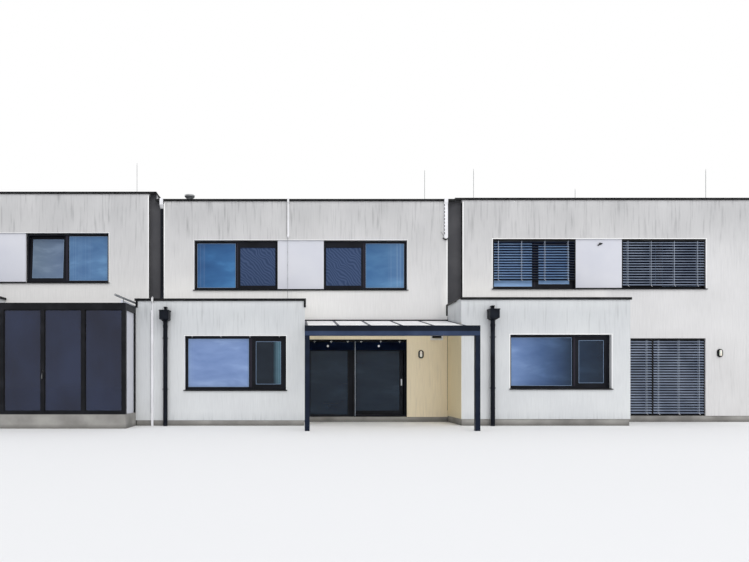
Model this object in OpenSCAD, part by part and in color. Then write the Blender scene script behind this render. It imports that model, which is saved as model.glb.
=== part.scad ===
// Terraced house row: three two-storey flat-roofed houses with projecting ground-floor boxes.
// Millimetres. X runs along the row, Y from the front to the back, Z up from the lowest ground.
// The origin is under the middle house, at the centre of its base.

/* [Row] */
// Width of one house's rendered front, between its party joints
facade_w = 8600; // [8400:50:9600]
// Depth of a house from front wall face to rear wall face
house_d = 10500; // [9000:50:12500]
// How much higher the left-hand house stands than the middle one
house_step = 220; // [120:10:320]
// How much higher the right-hand house stands than the middle one
right_step = 35; // [35:5:60]
// Thickness of each house's own party wall
party_wall_t = 200; // [170:5:240]
// Gap between the party walls of two neighbours
party_gap = 50; // [40:5:60]
// Set-back of the dark joint panels from the rendered faces
joint_recess = 140; // [120:5:180]
// Thickness of a joint panel
joint_panel_t = 20; // [12:1:30]

/* [Storeys] */
// Finished ground floor above the ground at the middle house
plinth_h = 150; // [100:10:300]
// Set-back of the foundation edge behind the wall faces
plinth_set = 20; // [5:1:30]
// Height from finished floor to finished floor
storey_h = 3000; // [2950:10:3300]
// Thickness of the floor between the storeys
floor_t = 350; // [250:10:400]
// Clear height of the upper rooms
upper_room_h = 2600; // [2450:10:2800]
// Thickness of the main roof with its insulation
roof_t = 550; // [400:10:600]
// Height of the parapet walls above the main roof
parapet_h = 420; // [300:10:500]
// Thickness of the outer walls with insulation and render
wall_t = 400; // [360:10:450]

/* [Front box] */
// Width of the ground-floor box, party joint included
box_w = 4700; // [4600:10:4800]
// Projection of the box in front of the upper wall
box_d = 1500; // [1200:10:1600]
// Thickness of the box roof with its insulation
box_roof_t = 400; // [300:10:430]
// Height of the parapet walls above the box roof
box_parapet_h = 305; // [250:5:350]

/* [Copings] */
// Height of a coping's face
coping_face = 70; // [50:1:100]
// Height of a coping's top above the wall that it covers
coping_rise = 30; // [15:1:40]
// Overhang of a coping past the wall face
coping_out = 30; // [15:1:50]
// Thickness of a coping's down-turned edge
coping_edge = 8; // [3:1:12]
// Fall of a coping's top towards its inner edge
coping_fall = 8; // [0:1:12]
// Length of the down-turns at the middle box's corners
corner_trim_h = 220; // [100:5:240]

/* [Windows] */
// Width of an upper window
win_w = 2530; // [2400:10:2600]
// Height of an upper window
win_h = 1500; // [1300:10:1600]
// Sill height of an upper window above its floor
win_sill = 860; // [750:10:950]
// Distance from the front's left edge to its first window
band_x = 920; // [700:10:1100]
// Width of the smooth panel between the two upper windows
panel_w = 1400; // [1200:10:1500]
// Set-back of the smooth panel from the render
panel_recess = 40; // [20:1:60]
// Thickness of the smooth panel
panel_t = 30; // [15:1:50]
// Depth of a window reveal, from the render to the frame
reveal_d = 120; // [110:5:150]
// Face width of a window frame
frame_w = 65; // [50:1:80]
// Depth of a window frame
frame_d = 80; // [65:1:100]
// Width of the mullion between the two lights
mullion_w = 100; // [70:1:120]
// Width of the fixed light of an upper window
fixed_light_w = 1190; // [1000:10:1250]
// Face width of an opening sash's frame
sash_w = 75; // [60:1:90]
// Depth of an opening sash's frame
sash_d = 60; // [45:1:64]
// Thickness of a glazing unit
glass_t = 36; // [24:1:40]
// Thickness of a sill sheet at its front
sill_t = 20; // [16:1:30]
// Thickness of the drip edge of a sill
sill_drip_t = 5; // [3:1:8]
// Projection of a sill in front of the render
sill_out = 40; // [20:1:60]
// Length of a sill past its opening at each end
sill_end = 30; // [10:1:60]
// Face width of an insect screen's frame
screen_frame = 35; // [25:1:45]
// Depth of an insect screen
screen_d = 20; // [12:1:30]
// Thickness of an insect screen's netting
screen_net_t = 3; // [2:1:5]
// Lap of an insect screen over the window's frame
screen_lap = 25; // [10:1:40]
// Height of the roller box at the head of a screen
screen_box_h = 110; // [80:5:140]
// Depth of that roller box
screen_box_d = 55; // [40:1:70]
// Inward tilt of the opened sash at the left-hand house
vent_tilt = 4; // [1:0.5:6]

/* [Box window] */
// Distance from the box's left edge to its window
box_win_x = 1360; // [1250:10:1400]
// Width of the box window
box_win_w = 2820; // [2600:10:2850]
// Height of the box window
box_win_h = 1500; // [1300:10:1600]
// Sill height of the box window above the floor
box_win_sill = 850; // [750:10:950]
// Width of the fixed light of the box window
box_light_w = 1720; // [1500:10:1750]

/* [Terrace door] */
// Width of the pier between the box and the terrace door
door_pier = 120; // [100:5:250]
// Width of the terrace door
door_w = 3000; // [2900:10:3050]
// Height of the terrace door
door_h = 2350; // [2250:10:2400]
// Depth of the terrace door's frame with its two tracks
door_frame_d = 170; // [160:5:200]
// Height of the terrace door's threshold
threshold_h = 60; // [40:1:70]
// Width of the fixed light of the terrace door
door_light_w = 1160; // [1080:10:1220]
// Width of the post at the inner edge of the fixed light
door_post_w = 190; // [160:5:220]
// Width of the sliding leaf
leaf_w = 1550; // [1530:5:1600]
// Thickness of the sliding leaf
leaf_t = 60; // [50:1:64]
// Face width of the sliding leaf's frame
leaf_stile = 100; // [80:1:110]
// Clearance round the sliding leaf
leaf_clear = 8; // [6:1:12]
// Height of the running rail on the threshold
rail_h = 14; // [13:1:16]
// Width of the running rail
rail_w = 8; // [6:1:12]
// Running gap between the rail and the leaf
run_gap = 0.3; // [0.2:0.1:0.6]

/* [Rear side] */
// Distance from a house's edge to its entrance door
entry_x = 1200; // [800:10:1600]
// Width of the entrance door
entry_w = 1100; // [1000:10:1200]
// Height of the entrance door
entry_h = 2350; // [2200:10:2400]
// Thickness of the entrance door leaf
entry_t = 70; // [50:1:80]

/* [Blinds] */
// Width of a blind slat
slat_w = 80; // [60:1:82]
// Thickness of a blind slat
slat_t = 2; // [1:0.5:3]
// Crown of a blind slat
slat_crown = 9; // [4:1:12]
// Height from one slat to the next
slat_pitch = 80; // [70:1:90]
// Tilt of the lowered slats, outer edge down
slat_tilt = 36; // [20:1:60]
// Tilt of the open slats of the half-raised blind, outer edge up
open_tilt = 20; // [5:1:30]
// Height from one slat to the next in a raised stack
stack_pitch = 16; // [14:1:20]
// Number of slats in the raised stack over a door
stack_count = 15; // [10:1:16]
// Number of slats by which the half-raised blind stops short
short_slats = 2; // [1:1:6]
// Width of a blind's guide rail
guide_w = 26; // [20:1:36]
// Depth of a blind's guide rail
guide_d = 36; // [30:1:50]
// Height of a blind's head rail
head_rail_h = 56; // [40:1:70]
// Depth of a blind's head rail
head_rail_d = 58; // [45:1:70]
// Height of a blind's bottom rail
bottom_rail_h = 16; // [12:1:25]

/* [Pergola] */
// Reach of the pergola from the front wall
pergola_d = 3250; // [3000:10:3500]
// Underside of the pergola's beam above the floor
pergola_beam_z = 2230; // [2150:10:2250]
// Height of the pergola's beam
pergola_beam_h = 110; // [90:5:140]
// Depth of the pergola's beam
pergola_beam_d = 200; // [190:5:240]
// Height of the gutter on the beam
pergola_gutter_h = 140; // [120:5:170]
// Width of the gutter from front to back
pergola_gutter_d = 125; // [110:1:135]
// Height of the gutter's rear wall
gutter_back_h = 50; // [40:1:55]
// Lap of the roof glass over the gutter
glass_lap = 30; // [15:1:50]
// Sheet thickness of the gutter
gutter_t = 5; // [3:1:8]
// Side of a pergola post
pergola_post = 120; // [90:5:140]
// Slope of the glass roof
pergola_slope = 9.2; // [6:0.1:9.6]
// Number of glass bays
pergola_bays = 5; // [4:1:6]
// Width of a rafter
rafter_w = 60; // [50:1:80]
// Height of a rafter below the glass
rafter_h = 70; // [65:1:80]
// Width of the web between two glass sheets
rafter_web = 18; // [12:1:24]
// Height of a glazing cap
cap_h = 8; // [5:1:12]
// Thickness of the roof glass
roof_glass_t = 10; // [8:1:14]
// Clearance beside each sheet of roof glass
roof_glass_gap = 2; // [1:0.5:4]
// Depth of the wall plate
wall_plate_d = 80; // [60:5:100]
// Clearance between the pergola and the walls beside it
pergola_side_gap = 10; // [5:1:20]
// Length of the beam's end in front of the box
pergola_overlap = 30; // [10:5:60]

/* [Rainwater] */
// Distance from the box's left edge to its downpipe's axis
pipe_x = 843; // [700:1:950]
// Diameter of a box downpipe
pipe_dia = 120; // [90:5:130]
// Distance from the wall to a downpipe's axis
pipe_off = 100; // [85:5:110]
// Width of a rainwater hopper
hopper_w = 250; // [220:5:300]
// Depth of a rainwater hopper
hopper_d = 290; // [240:5:310]
// Height of the hopper's straight part
hopper_h = 250; // [180:5:270]
// Height of the hopper's tapered foot
hopper_foot_h = 45; // [35:5:90]
// Width of the rim round the hopper
hopper_rim = 12; // [8:1:20]
// Sheet thickness of the hopper
hopper_t = 6; // [4:1:10]
// Clear height from the hopper to the spout above it
spout_gap = 12; // [5:1:30]
// Width of the spout's mouth over the hopper
spout_w = 85; // [70:5:100]
// Width of the spout at its bottom
spout_low_w = 40; // [30:1:60]
// Height of the spout
spout_h = 90; // [70:5:100]
// Diameter of the downpipe in the party joint
joint_pipe_dia = 100; // [80:5:110]
// Clearance between that pipe and the joint's sides
pipe_side_gap = 12; // [8:1:16]
// Depth of that pipe's head below the parapet
joint_pipe_drop = 250; // [200:10:400]
// Height of a pipe socket
socket_h = 70; // [50:5:90]
// Thickness of a pipe socket and of a pipe clamp
socket_t = 6; // [4:1:8]
// Height of a pipe clamp
clamp_h = 30; // [20:1:40]

/* [Veranda] */
// Reach of the veranda from the front wall
veranda_d = 2500; // [2200:10:2700]
// Height of the veranda above its floor
veranda_h = 2920; // [2850:10:2950]
// Height of the veranda's fascia
fascia_h = 180; // [150:5:220]
// Thickness of the veranda's roof
veranda_roof_t = 120; // [90:5:140]
// Side of a veranda post
veranda_post = 100; // [80:5:120]
// Number of glass bays in the veranda's front
veranda_bays = 4; // [3:1:5]
// Height of the veranda's bottom rail
veranda_rail_h = 80; // [60:5:110]
// Height of the white edge strips on the veranda's sides
edge_strip_h = 70; // [50:5:90]
// Width of those strips
edge_strip_w = 46; // [36:2:46]
// Diameter of an awning rail over the veranda
awning_rail_dia = 55; // [35:1:58]
// Reach of the awning rails in front of the veranda
awning_reach = 690; // [500:10:800]
// Height of an awning rail's front end above the veranda
awning_lift = 110; // [80:5:140]
// Rise of an awning rail towards the wall
awning_rise = 60; // [20:5:90]
// Width of an awning rail's bracket
bracket_w = 60; // [40:5:80]

/* [Fittings] */
// Width of a lightning conductor's cover
conductor_w = 60; // [40:5:80]
// Width of the wide conductor cover at the front's right edge
wide_conductor_w = 110; // [90:5:120]
// Distance from the front's left edge to the narrow conductor cover
conductor_x = 3740; // [3550:10:4000]
// Distance from the box's left edge to its conductor cover
box_conductor_x = 434; // [300:1:500]
// Depth of a conductor cover
conductor_d = 40; // [30:1:60]
// Height of the covers' lower ends above the window heads
conductor_end = 100; // [60:10:160]
// Width of the strip that runs from the box coping to the box's cover
conductor_strip_w = 30; // [20:1:40]
// Drop from the box's parapet to the top of its cover
box_cover_drop = 300; // [200:10:400]
// Diameter of a lightning rod
rod_dia = 16; // [10:1:20]
// Height of a lightning rod
rod_h = 1590; // [1300:10:1700]
// Height of the short lightning rod in the middle of a roof
short_rod_h = 960; // [700:10:1100]
// Distance from a house's edge to its nearest lightning rod
rod_x = 545; // [400:5:700]
// Distance from the row's right-hand end to its last lightning rod
end_rod_x = 750; // [600:10:900]
// Diameter of a lightning rod's foot
rod_foot_dia = 300; // [200:10:340]
// Height of a lightning rod's foot
rod_foot_h = 80; // [60:5:100]
// Width of a wall lamp
lamp_w = 170; // [140:5:200]
// Height of a wall lamp
lamp_h = 270; // [230:5:300]
// Distance from the front's left edge to the lamp's centre
lamp_x = 7790; // [7650:10:7850]
// Height of the lamp's centre above the floor
lamp_z = 1900; // [1700:10:2000]
// Depth of a wall lamp
lamp_d = 90; // [60:5:120]
// Width of the sensor lamp under the roof
sensor_w = 140; // [100:5:180]
// Height of the sensor lamp
sensor_h = 85; // [60:5:110]
// Distance from the smooth panel's top to the sensor lamp
sensor_drop = 65; // [40:5:90]
// Width of the vent grille by the terrace
grille_w = 375; // [300:5:400]
// Distance from the front's left edge to the vent grille
grille_x = 8080; // [8000:10:8150]
// Height of the vent grille by the terrace
grille_h = 260; // [200:5:290]
// Width of the frame round the vent grille
grille_frame = 20; // [15:1:30]
// Depth of the vent grille
grille_d = 32; // [26:1:40]
// Number of blades in the vent grille
grille_blades = 6; // [4:1:8]
// Thickness of a grille blade
blade_t = 5; // [3:0.5:7]
// Distance from the front's left edge to the roof vent
vent_x = 660; // [600:10:900]
// Diameter of a roof vent
vent_dia = 160; // [120:5:200]
// Height of a roof vent
vent_h = 820; // [700:10:900]

/* [Hidden] */
HOUSES = [0, 1, 2];
ZONES = [0, 1, 2, 3];
INNER_ZONES = [1, 2];
LEFT = 0;
MIDDLE = 1;
RIGHT = 2;
eps = 0.01;
joint_w = 2 * party_wall_t + party_gap;
pitch = facade_w + joint_w;
front_y = -house_d / 2;
party_y0 = joint_recess + joint_panel_t;
party_y1 = house_d - party_y0;
ceiling_z = storey_h - floor_t;
upper_ceiling_z = storey_h + upper_room_h;
deck_z = upper_ceiling_z + roof_t;
wall_top = deck_z + parapet_h;
box_x0 = -joint_w;
box_x1 = box_w - joint_w;
box_deck_z = ceiling_z + box_roof_t;
box_top = box_deck_z + box_parapet_h;
win_z = storey_h + win_sill;
win2_x = band_x + win_w + panel_w;
box_win_lx = box_x0 + box_win_x;
door_x = box_x1 + door_pier;
rear_win_x = entry_x + entry_w + panel_w;
leaf_x = door_w - frame_w - leaf_clear * 2 - leaf_w;
leaf_y = door_frame_d - leaf_t - (door_frame_d - frame_d - leaf_t) / 2;
blind_y = reveal_d / 2;
blind_split = frame_w + door_light_w + door_post_w;
conductor_low = win_z + win_h + conductor_end;
pergola_x0 = box_x1 - pergola_overlap;
pergola_x1 = facade_w - pergola_side_gap;
pergola_top = pergola_beam_z + pergola_beam_h;
seat_y = pergola_beam_d - pergola_d;
gutter_y = pergola_gutter_d - pergola_d;
glass_y = gutter_y - glass_lap;
rafter_x0 = box_x1 + pergola_side_gap;
rafter_x1 = facade_w - pergola_side_gap;
hopper_z = box_deck_z - spout_gap - hopper_h;
joint_pipe_x = -joint_pipe_dia / 2 - pipe_side_gap;
joint_pipe_y = joint_recess - joint_pipe_dia / 2 - pipe_side_gap;
joint_pipe_top = wall_top - joint_pipe_drop;
// Lightning rods as [house, distance from the front's left edge, height]
RODS = [[LEFT, facade_w - rod_x, rod_h], [MIDDLE, facade_w - rod_x, rod_h], [RIGHT, rod_x, rod_h],
  [RIGHT, conductor_x, short_rod_h], [RIGHT, facade_w - end_rod_x, rod_h]];
function house_x(i) = (i - MIDDLE) * pitch - facade_w / 2;
function floor_z(i) = plinth_h + (i == LEFT ? house_step : i == RIGHT ? right_step : 0);
function top_z(i) = floor_z(i) + wall_top;
// The rendered walls run on over the party wall at each end of the row
function left_end(i) = i == LEFT ? joint_w : 0;
function right_end(i) = i == RIGHT ? joint_w : 0;
function rafter_at(k) = rafter_x0 + k * (rafter_x1 - rafter_x0 - rafter_w) / pergola_bays;

// Places children in a house's own frame: X from the front's left edge, Y from the front, Z from the floor
module at_house(i) {
  translate([house_x(i), front_y, floor_z(i)]) children();
}

// Places children in a house's frame as it is seen from behind
module at_rear(i) {
  translate([house_x(i) + facade_w, front_y + house_d, floor_z(i)]) rotate([0, 0, 180]) children();
}

// Box between two corners
module block(a, b) {
  translate(a) cube(b - a);
}

// Rectangular ring in the X-Z plane, such as a frame
module ring(w, h, d, side, top, bottom) {
  difference() {
    cube([w, d, h]);
    block([side, -1, bottom], [w - side, d + 1, h - top]);
  }
}

// Slab under the box, under the house and under the party walls beside it, clear of the next slab
module foundation_slabs() {
  color("dimgray") for (i = HOUSES) {
    h = floor_z(i);
    left = max(party_wall_t, left_end(i) - plinth_set);
    right = facade_w + max(party_wall_t, right_end(i) - plinth_set);
    translate([house_x(i), front_y, 0]) {
      block([box_x0 + plinth_set, plinth_set - box_d, 0], [box_x1 - plinth_set, joint_recess, h]);
      block([i == LEFT ? -left : 0, plinth_set, 0],
        [i == RIGHT ? right : facade_w, house_d - plinth_set, h]);
      block([-left, party_y0, 0], [right, party_y1, h]);
    }
  }
}

// Each joint holds the wall of the house on its left and the wall of the house on its right
module party_walls() {
  color("gainsboro") for (j = ZONES) {
    left = max(j - 1, LEFT);
    right = min(j, RIGHT);
    x = house_x(j) - joint_w;
    translate([x, front_y, 0])
      block([0, party_y0, floor_z(left)], [party_wall_t, party_y1, top_z(left)]);
    translate([x + party_wall_t + party_gap, front_y, 0])
      block([0, party_y0, floor_z(right)], [party_wall_t, party_y1, top_z(right)]);
  }
}

// Two window openings, the shallow recess between them and the groove for the sill
module band_cut() {
  for (x = [band_x, win2_x])
    block([x, -1, win_z], [x + win_w, wall_t + 1, win_z + win_h]);
  block([band_x + win_w - 1, -1, win_z], [win2_x + 1, panel_recess + panel_t, win_z + win_h]);
  for (x = [band_x, win2_x]) sill_groove(x, win_z, win_w);
  block([band_x + win_w - 1, -1, win_z - sill_t], [win2_x + 1, panel_recess, win_z + 1]);
}

module sill_groove(x, z, w) {
  block([x, -1, z - sill_t], [x + w, reveal_d, z + 1]);
}

module upper_front_walls() {
  color("whitesmoke") for (i = HOUSES) at_house(i) {
    difference() {
      block([0, 0, ceiling_z], [facade_w, wall_t, wall_top]);
      band_cut();
    }
    if (i == LEFT) block([-left_end(i), 0, box_top], [eps, party_y0, wall_top]);
    if (i == RIGHT) block([facade_w - eps, 0, ceiling_z], [facade_w + right_end(i), party_y0, wall_top]);
  }
}

module terrace_walls() {
  color("antiquewhite") for (i = HOUSES) at_house(i) {
    block([box_x1 - wall_t, 0, 0], [door_x, wall_t, ceiling_z]);
    block([door_x + door_w, 0, 0], [facade_w, wall_t, ceiling_z]);
    if (i == RIGHT) block([facade_w - eps, 0, 0], [facade_w + right_end(i), party_y0, ceiling_z]);
  }
}

module terrace_lintels() {
  color("antiquewhite") for (i = HOUSES) at_house(i)
    block([door_x, 0, door_h], [door_x + door_w, wall_t, ceiling_z]);
}

module box_front_walls() {
  color("whitesmoke") for (i = HOUSES) at_house(i) difference() {
    block([box_x0, -box_d, 0], [box_x1, wall_t - box_d, box_top]);
    block([box_win_lx, -box_d - 1, box_win_sill],
      [box_win_lx + box_win_w, wall_t - box_d + 1, box_win_sill + box_win_h]);
    translate([0, -box_d, 0]) sill_groove(box_win_lx, box_win_sill, box_win_w);
  }
}

module box_side_walls() {
  color("whitesmoke") for (i = HOUSES) at_house(i) {
    block([box_x0, wall_t - box_d, 0], [0, party_y0, box_top]);
    block([box_x1 - wall_t, wall_t - box_d, 0], [box_x1, 0, box_top]);
  }
}

// The rear wall is laid out as it is seen from behind
module rear_walls() {
  color("whitesmoke") for (i = HOUSES) at_rear(i) {
    difference() {
      block([0, 0, 0], [facade_w, wall_t, wall_top]);
      band_cut();
      block([entry_x, -1, -1], [entry_x + entry_w, wall_t + 1, entry_h]);
      block([rear_win_x, -1, box_win_sill],
        [rear_win_x + win_w, wall_t + 1, box_win_sill + win_h]);
      sill_groove(rear_win_x, box_win_sill, win_w);
    }
    if (i == LEFT) block([facade_w - eps, 0, 0], [facade_w + left_end(i), party_y0, wall_top]);
    if (i == RIGHT) block([-right_end(i), 0, 0], [eps, party_y0, wall_top]);
  }
}

module first_floors() {
  color("silver") for (i = HOUSES) at_house(i)
    block([0, wall_t, ceiling_z], [facade_w, house_d - wall_t, storey_h]);
}

module roof_decks() {
  color("gray") for (i = HOUSES) at_house(i)
    block([0, wall_t, upper_ceiling_z], [facade_w, house_d - wall_t, deck_z]);
}

module box_roofs() {
  color("gray") for (i = HOUSES) at_house(i)
    block([0, wall_t - box_d, ceiling_z], [box_x1 - wall_t, 0, box_deck_z]);
}

// Folded coping over a wall of width w, along X, with its underside at Z 0
module coping(length, w, outer = true, inner = true) {
  leg = coping_face - coping_rise;
  a = outer ? -coping_out : 0;
  b = inner ? w + coping_out : w;
  outer_leg = [[a, -leg], [a + coping_edge, -leg], [a + coping_edge, 0]];
  inner_leg = [[b - coping_edge, 0], [b - coping_edge, -leg], [b, -leg]];
  rotate([90, 0, 90]) linear_extrude(length) polygon(concat(
    outer ? outer_leg : [[a, 0]],
    inner ? inner_leg : [[b, 0]],
    [[b, coping_rise - coping_fall], [a, coping_rise]]));
}

// A front or rear coping of one house: clamped over its wall, with a plain plate over the joints
// and a down-turned edge where the row ends
module eaves_coping(left, right) {
  coping(facade_w, wall_t);
  translate([-left, 0, 0]) coping(left + eps, wall_t + coping_out, inner = false);
  translate([facade_w - eps, 0, 0]) coping(right + eps, wall_t + coping_out, inner = false);
  if (left > joint_w) end_leg(-left);
  if (right > joint_w) end_leg(facade_w + right - coping_edge);
}

module end_leg(x) {
  block([x, -coping_out, coping_rise - coping_face], [x + coping_edge, wall_t + coping_out, eps]);
}

module front_copings() {
  color("black") {
    translate([house_x(LEFT), front_y, top_z(LEFT)])
      eaves_coping(joint_w + coping_out, party_wall_t + coping_out);
    translate([house_x(MIDDLE), front_y, top_z(MIDDLE)])
      eaves_coping(joint_w - party_wall_t, joint_w / 2);
    translate([house_x(RIGHT), front_y, top_z(RIGHT)])
      eaves_coping(joint_w / 2, joint_w + coping_out);
  }
}

module rear_copings() {
  color("black") {
    translate([house_x(LEFT) + facade_w, -front_y, top_z(LEFT)]) rotate([0, 0, 180])
      eaves_coping(party_wall_t + coping_out, joint_w + coping_out);
    translate([house_x(MIDDLE) + facade_w, -front_y, top_z(MIDDLE)]) rotate([0, 0, 180])
      eaves_coping(joint_w / 2, joint_w - party_wall_t);
    translate([house_x(RIGHT) + facade_w, -front_y, top_z(RIGHT)]) rotate([0, 0, 180])
      eaves_coping(joint_w + coping_out, joint_w / 2);
  }
}

// Copings along the party walls, from the front coping to the rear one
module party_copings() {
  start = wall_t + coping_out;
  run = house_d - 2 * start;
  color("black") {
    translate([house_x(LEFT), front_y + start, top_z(LEFT)]) rotate([0, 0, 90]) coping(run, joint_w);
    translate([house_x(LEFT) + facade_w + party_wall_t, front_y + start, top_z(LEFT)])
      rotate([0, 0, 90]) coping(run, party_wall_t);
    translate([house_x(MIDDLE), front_y + start, top_z(MIDDLE)])
      rotate([0, 0, 90]) coping(run, joint_w - party_wall_t, inner = false);
    for (x = [house_x(RIGHT), house_x(RIGHT) + pitch]) translate([x, front_y + start, top_z(RIGHT)])
      rotate([0, 0, 90]) coping(run, joint_w);
  }
}

// The box coping is clamped over three walls, and stops at the upper wall and at the joint panel
module box_copings() {
  start = wall_t + coping_out;
  color("black") for (i = HOUSES) at_house(i) {
    translate([0, -box_d, box_top]) {
      translate([box_x0 - coping_out, 0, 0]) coping(joint_w + coping_out + eps, start, inner = false);
      coping(box_x1 - wall_t, wall_t);
      translate([box_x1 - wall_t - eps, 0, 0])
        coping(wall_t + coping_out + eps, start, inner = false);
      translate([0, start, 0]) rotate([0, 0, 90]) coping(box_d - start, joint_w);
      if (i != LEFT) translate([0, box_d, 0]) rotate([0, 0, 90])
        coping(joint_recess, joint_w, outer = false, inner = false);
      translate([box_x1, start, 0]) rotate([0, 0, 90]) coping(box_d - start, wall_t);
    }
    if (i == MIDDLE) for (x = [box_x0 + coping_out, box_x1])
      block([x - coping_out, -box_d - coping_out, box_top - corner_trim_h],
        [x + coping_out, -box_d - coping_out + coping_edge, box_top]);
  }
}

// One dark panel closes each joint at the front and at the back; its top steps with the copings
module joint_panel(j, low) {
  left = top_z(j - 1);
  right = top_z(j);
  step_x = left > right ? party_wall_t : joint_w / 2;
  rotate([90, 0, 0]) mirror([0, 0, 1]) linear_extrude(joint_panel_t) polygon([
    [0, low], [joint_w, low], [joint_w, right], [step_x, right], [step_x, left], [0, left]]);
}

module joint_panels() {
  color("dimgray") for (j = INNER_ZONES) translate([house_x(j) - joint_w, front_y, 0]) {
    translate([0, joint_recess, 0]) joint_panel(j, floor_z(j) + box_top);
    translate([0, party_y1, 0]) joint_panel(j, 0);
  }
}

module band_panel() {
  block([band_x + win_w, panel_recess, win_z], [win2_x, panel_recess + panel_t, win_z + win_h]);
}

module band_panels() {
  color("lavender") for (i = HOUSES) {
    at_house(i) band_panel();
    at_rear(i) band_panel();
  }
}

// Sloped sheet sill from a depth inside the reveal to its drip edge in front of the render
module sill(w, depth, end = sill_end) {
  rotate([90, 0, 90]) linear_extrude(w) polygon([
    [depth, -sill_t], [depth, 0], [0, -sill_t / 4], [-sill_out, -sill_t / 2],
    [-sill_out, -sill_t], [0, -sill_t]]);
  translate([-end, 0, 0]) rotate([90, 0, 90]) linear_extrude(w + 2 * end) polygon([
    [0, -sill_t], [0, -sill_t / 4], [-sill_out, -sill_t / 2], [-sill_out, -sill_t - sill_drip_t],
    [sill_drip_t - sill_out, -sill_t - sill_drip_t], [sill_drip_t - sill_out, -sill_t]]);
}

module band_sill() {
  translate([band_x, 0, win_z]) {
    sill(win_w, reveal_d);
    translate([win_w - eps, 0, 0]) sill(panel_w + 2 * eps, panel_recess);
    translate([win_w + panel_w, 0, 0]) sill(win_w, reveal_d);
  }
}

module window_sills() {
  color("black") for (i = HOUSES) {
    at_house(i) band_sill();
    at_house(i) translate([box_win_lx, -box_d, box_win_sill]) sill(box_win_w, reveal_d);
    at_rear(i) band_sill();
    at_rear(i) translate([rear_win_x, 0, box_win_sill]) sill(win_w, reveal_d);
  }
}

// Windows as [x, y, z, width, height, fixed light, mirrored], seen from outside
FRONT_WINDOWS = [[band_x, 0, win_z, win_w, win_h, fixed_light_w, false],
  [win2_x, 0, win_z, win_w, win_h, fixed_light_w, true],
  [box_win_lx, -box_d, box_win_sill, box_win_w, box_win_h, box_light_w, false]];
REAR_WINDOWS = [[band_x, 0, win_z, win_w, win_h, fixed_light_w, false],
  [win2_x, 0, win_z, win_w, win_h, fixed_light_w, true],
  [rear_win_x, 0, box_win_sill, win_w, win_h, fixed_light_w, false]];

// Places its children in a window's own frame, fixed light first
module window_place(v) {
  translate([v[6] ? v[0] + v[3] : v[0], v[1] + reveal_d, v[2]]) mirror([v[6] ? 1 : 0, 0, 0]) children();
}

// Frame with a fixed light on its left and the place of a sash on its right
module window_frame(w, h, light) {
  difference() {
    cube([w, frame_d, h]);
    block([frame_w, -1, frame_w], [frame_w + light, frame_d + 1, h - frame_w]);
    block([frame_w + light + mullion_w, -1, frame_w], [w - frame_w, frame_d + 1, h - frame_w]);
  }
}

module window_sash(w, h, light) {
  x = frame_w + light + mullion_w;
  translate([x, (frame_d - sash_d) / 2, frame_w])
    ring(w - frame_w - x, h - 2 * frame_w, sash_d, sash_w, sash_w, sash_w);
}

module fixed_pane(h, light) {
  y = (frame_d - glass_t) / 2;
  block([frame_w, y, frame_w], [frame_w + light, y + glass_t, h - frame_w]);
}

module sash_pane(w, h, light) {
  x = frame_w + light + mullion_w + sash_w;
  y = (frame_d - glass_t) / 2;
  block([x, y, frame_w + sash_w], [w - frame_w - sash_w, y + glass_t, h - frame_w - sash_w]);
}

// Tilts an opened sash inward about its bottom inner edge
module tilted(angle) {
  hinge = (frame_d + sash_d) / 2;
  translate([0, hinge, frame_w]) rotate([-angle, 0, 0]) translate([0, -hinge, -frame_w]) children();
}

// The left-hand house has its second upper window open
function sash_angle(i, v) = i == LEFT && v == FRONT_WINDOWS[1] ? vent_tilt : 0;

// A screen hangs from its roller box, covers the sash's light and laps over the outer frame
module insect_screen(w, h, light) {
  x = frame_w + light + mullion_w;
  across = w - frame_w - x + screen_lap;
  high = h - 2 * frame_w + 2 * screen_lap;
  translate([x, -screen_d, frame_w - screen_lap]) {
    ring(across, high, screen_d, screen_frame, screen_box_h, screen_frame);
    block([0, screen_d - screen_box_d, high - screen_box_h], [across, screen_d, high]);
    block([screen_frame - eps, screen_d / 2, screen_frame - eps],
      [across - screen_frame + eps, screen_d / 2 + screen_net_t, high - screen_box_h + eps]);
  }
}

module window_frames() {
  color("darkslategray") for (i = HOUSES) {
    at_house(i) for (v = FRONT_WINDOWS) window_place(v) window_frame(v[3], v[4], v[5]);
    at_rear(i) for (v = REAR_WINDOWS) window_place(v) window_frame(v[3], v[4], v[5]);
  }
}

module window_sashes() {
  color("darkslategray") for (i = HOUSES) {
    at_house(i) for (v = FRONT_WINDOWS)
      window_place(v) tilted(sash_angle(i, v)) window_sash(v[3], v[4], v[5]);
    at_rear(i) for (v = REAR_WINDOWS) window_place(v) window_sash(v[3], v[4], v[5]);
  }
}

module window_glass() {
  color("steelblue", 0.6) for (i = HOUSES) {
    at_house(i) for (v = FRONT_WINDOWS) window_place(v) {
      fixed_pane(v[4], v[5]);
      tilted(sash_angle(i, v)) sash_pane(v[3], v[4], v[5]);
    }
    at_rear(i) for (v = REAR_WINDOWS) window_place(v) {
      fixed_pane(v[4], v[5]);
      sash_pane(v[3], v[4], v[5]);
    }
  }
}

module insect_screens() {
  color("slategray") at_house(MIDDLE) for (k = [0, 1]) let (v = FRONT_WINDOWS[k])
    window_place(v) insect_screen(v[3], v[4], v[5]);
}

// Door frame with a fixed light in its outer track, and a rail for the leaf in its inner track
module door_frame() {
  ring(door_w, door_h, door_frame_d, frame_w, frame_w, threshold_h);
  block([frame_w + door_light_w, 0, threshold_h - 1],
    [frame_w + door_light_w + door_post_w, frame_d, door_h - frame_w + 1]);
  block([frame_w - 1, leaf_y + (leaf_t - rail_w) / 2, threshold_h - 1],
    [door_w - frame_w + 1, leaf_y + (leaf_t + rail_w) / 2, threshold_h + rail_h]);
}

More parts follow.
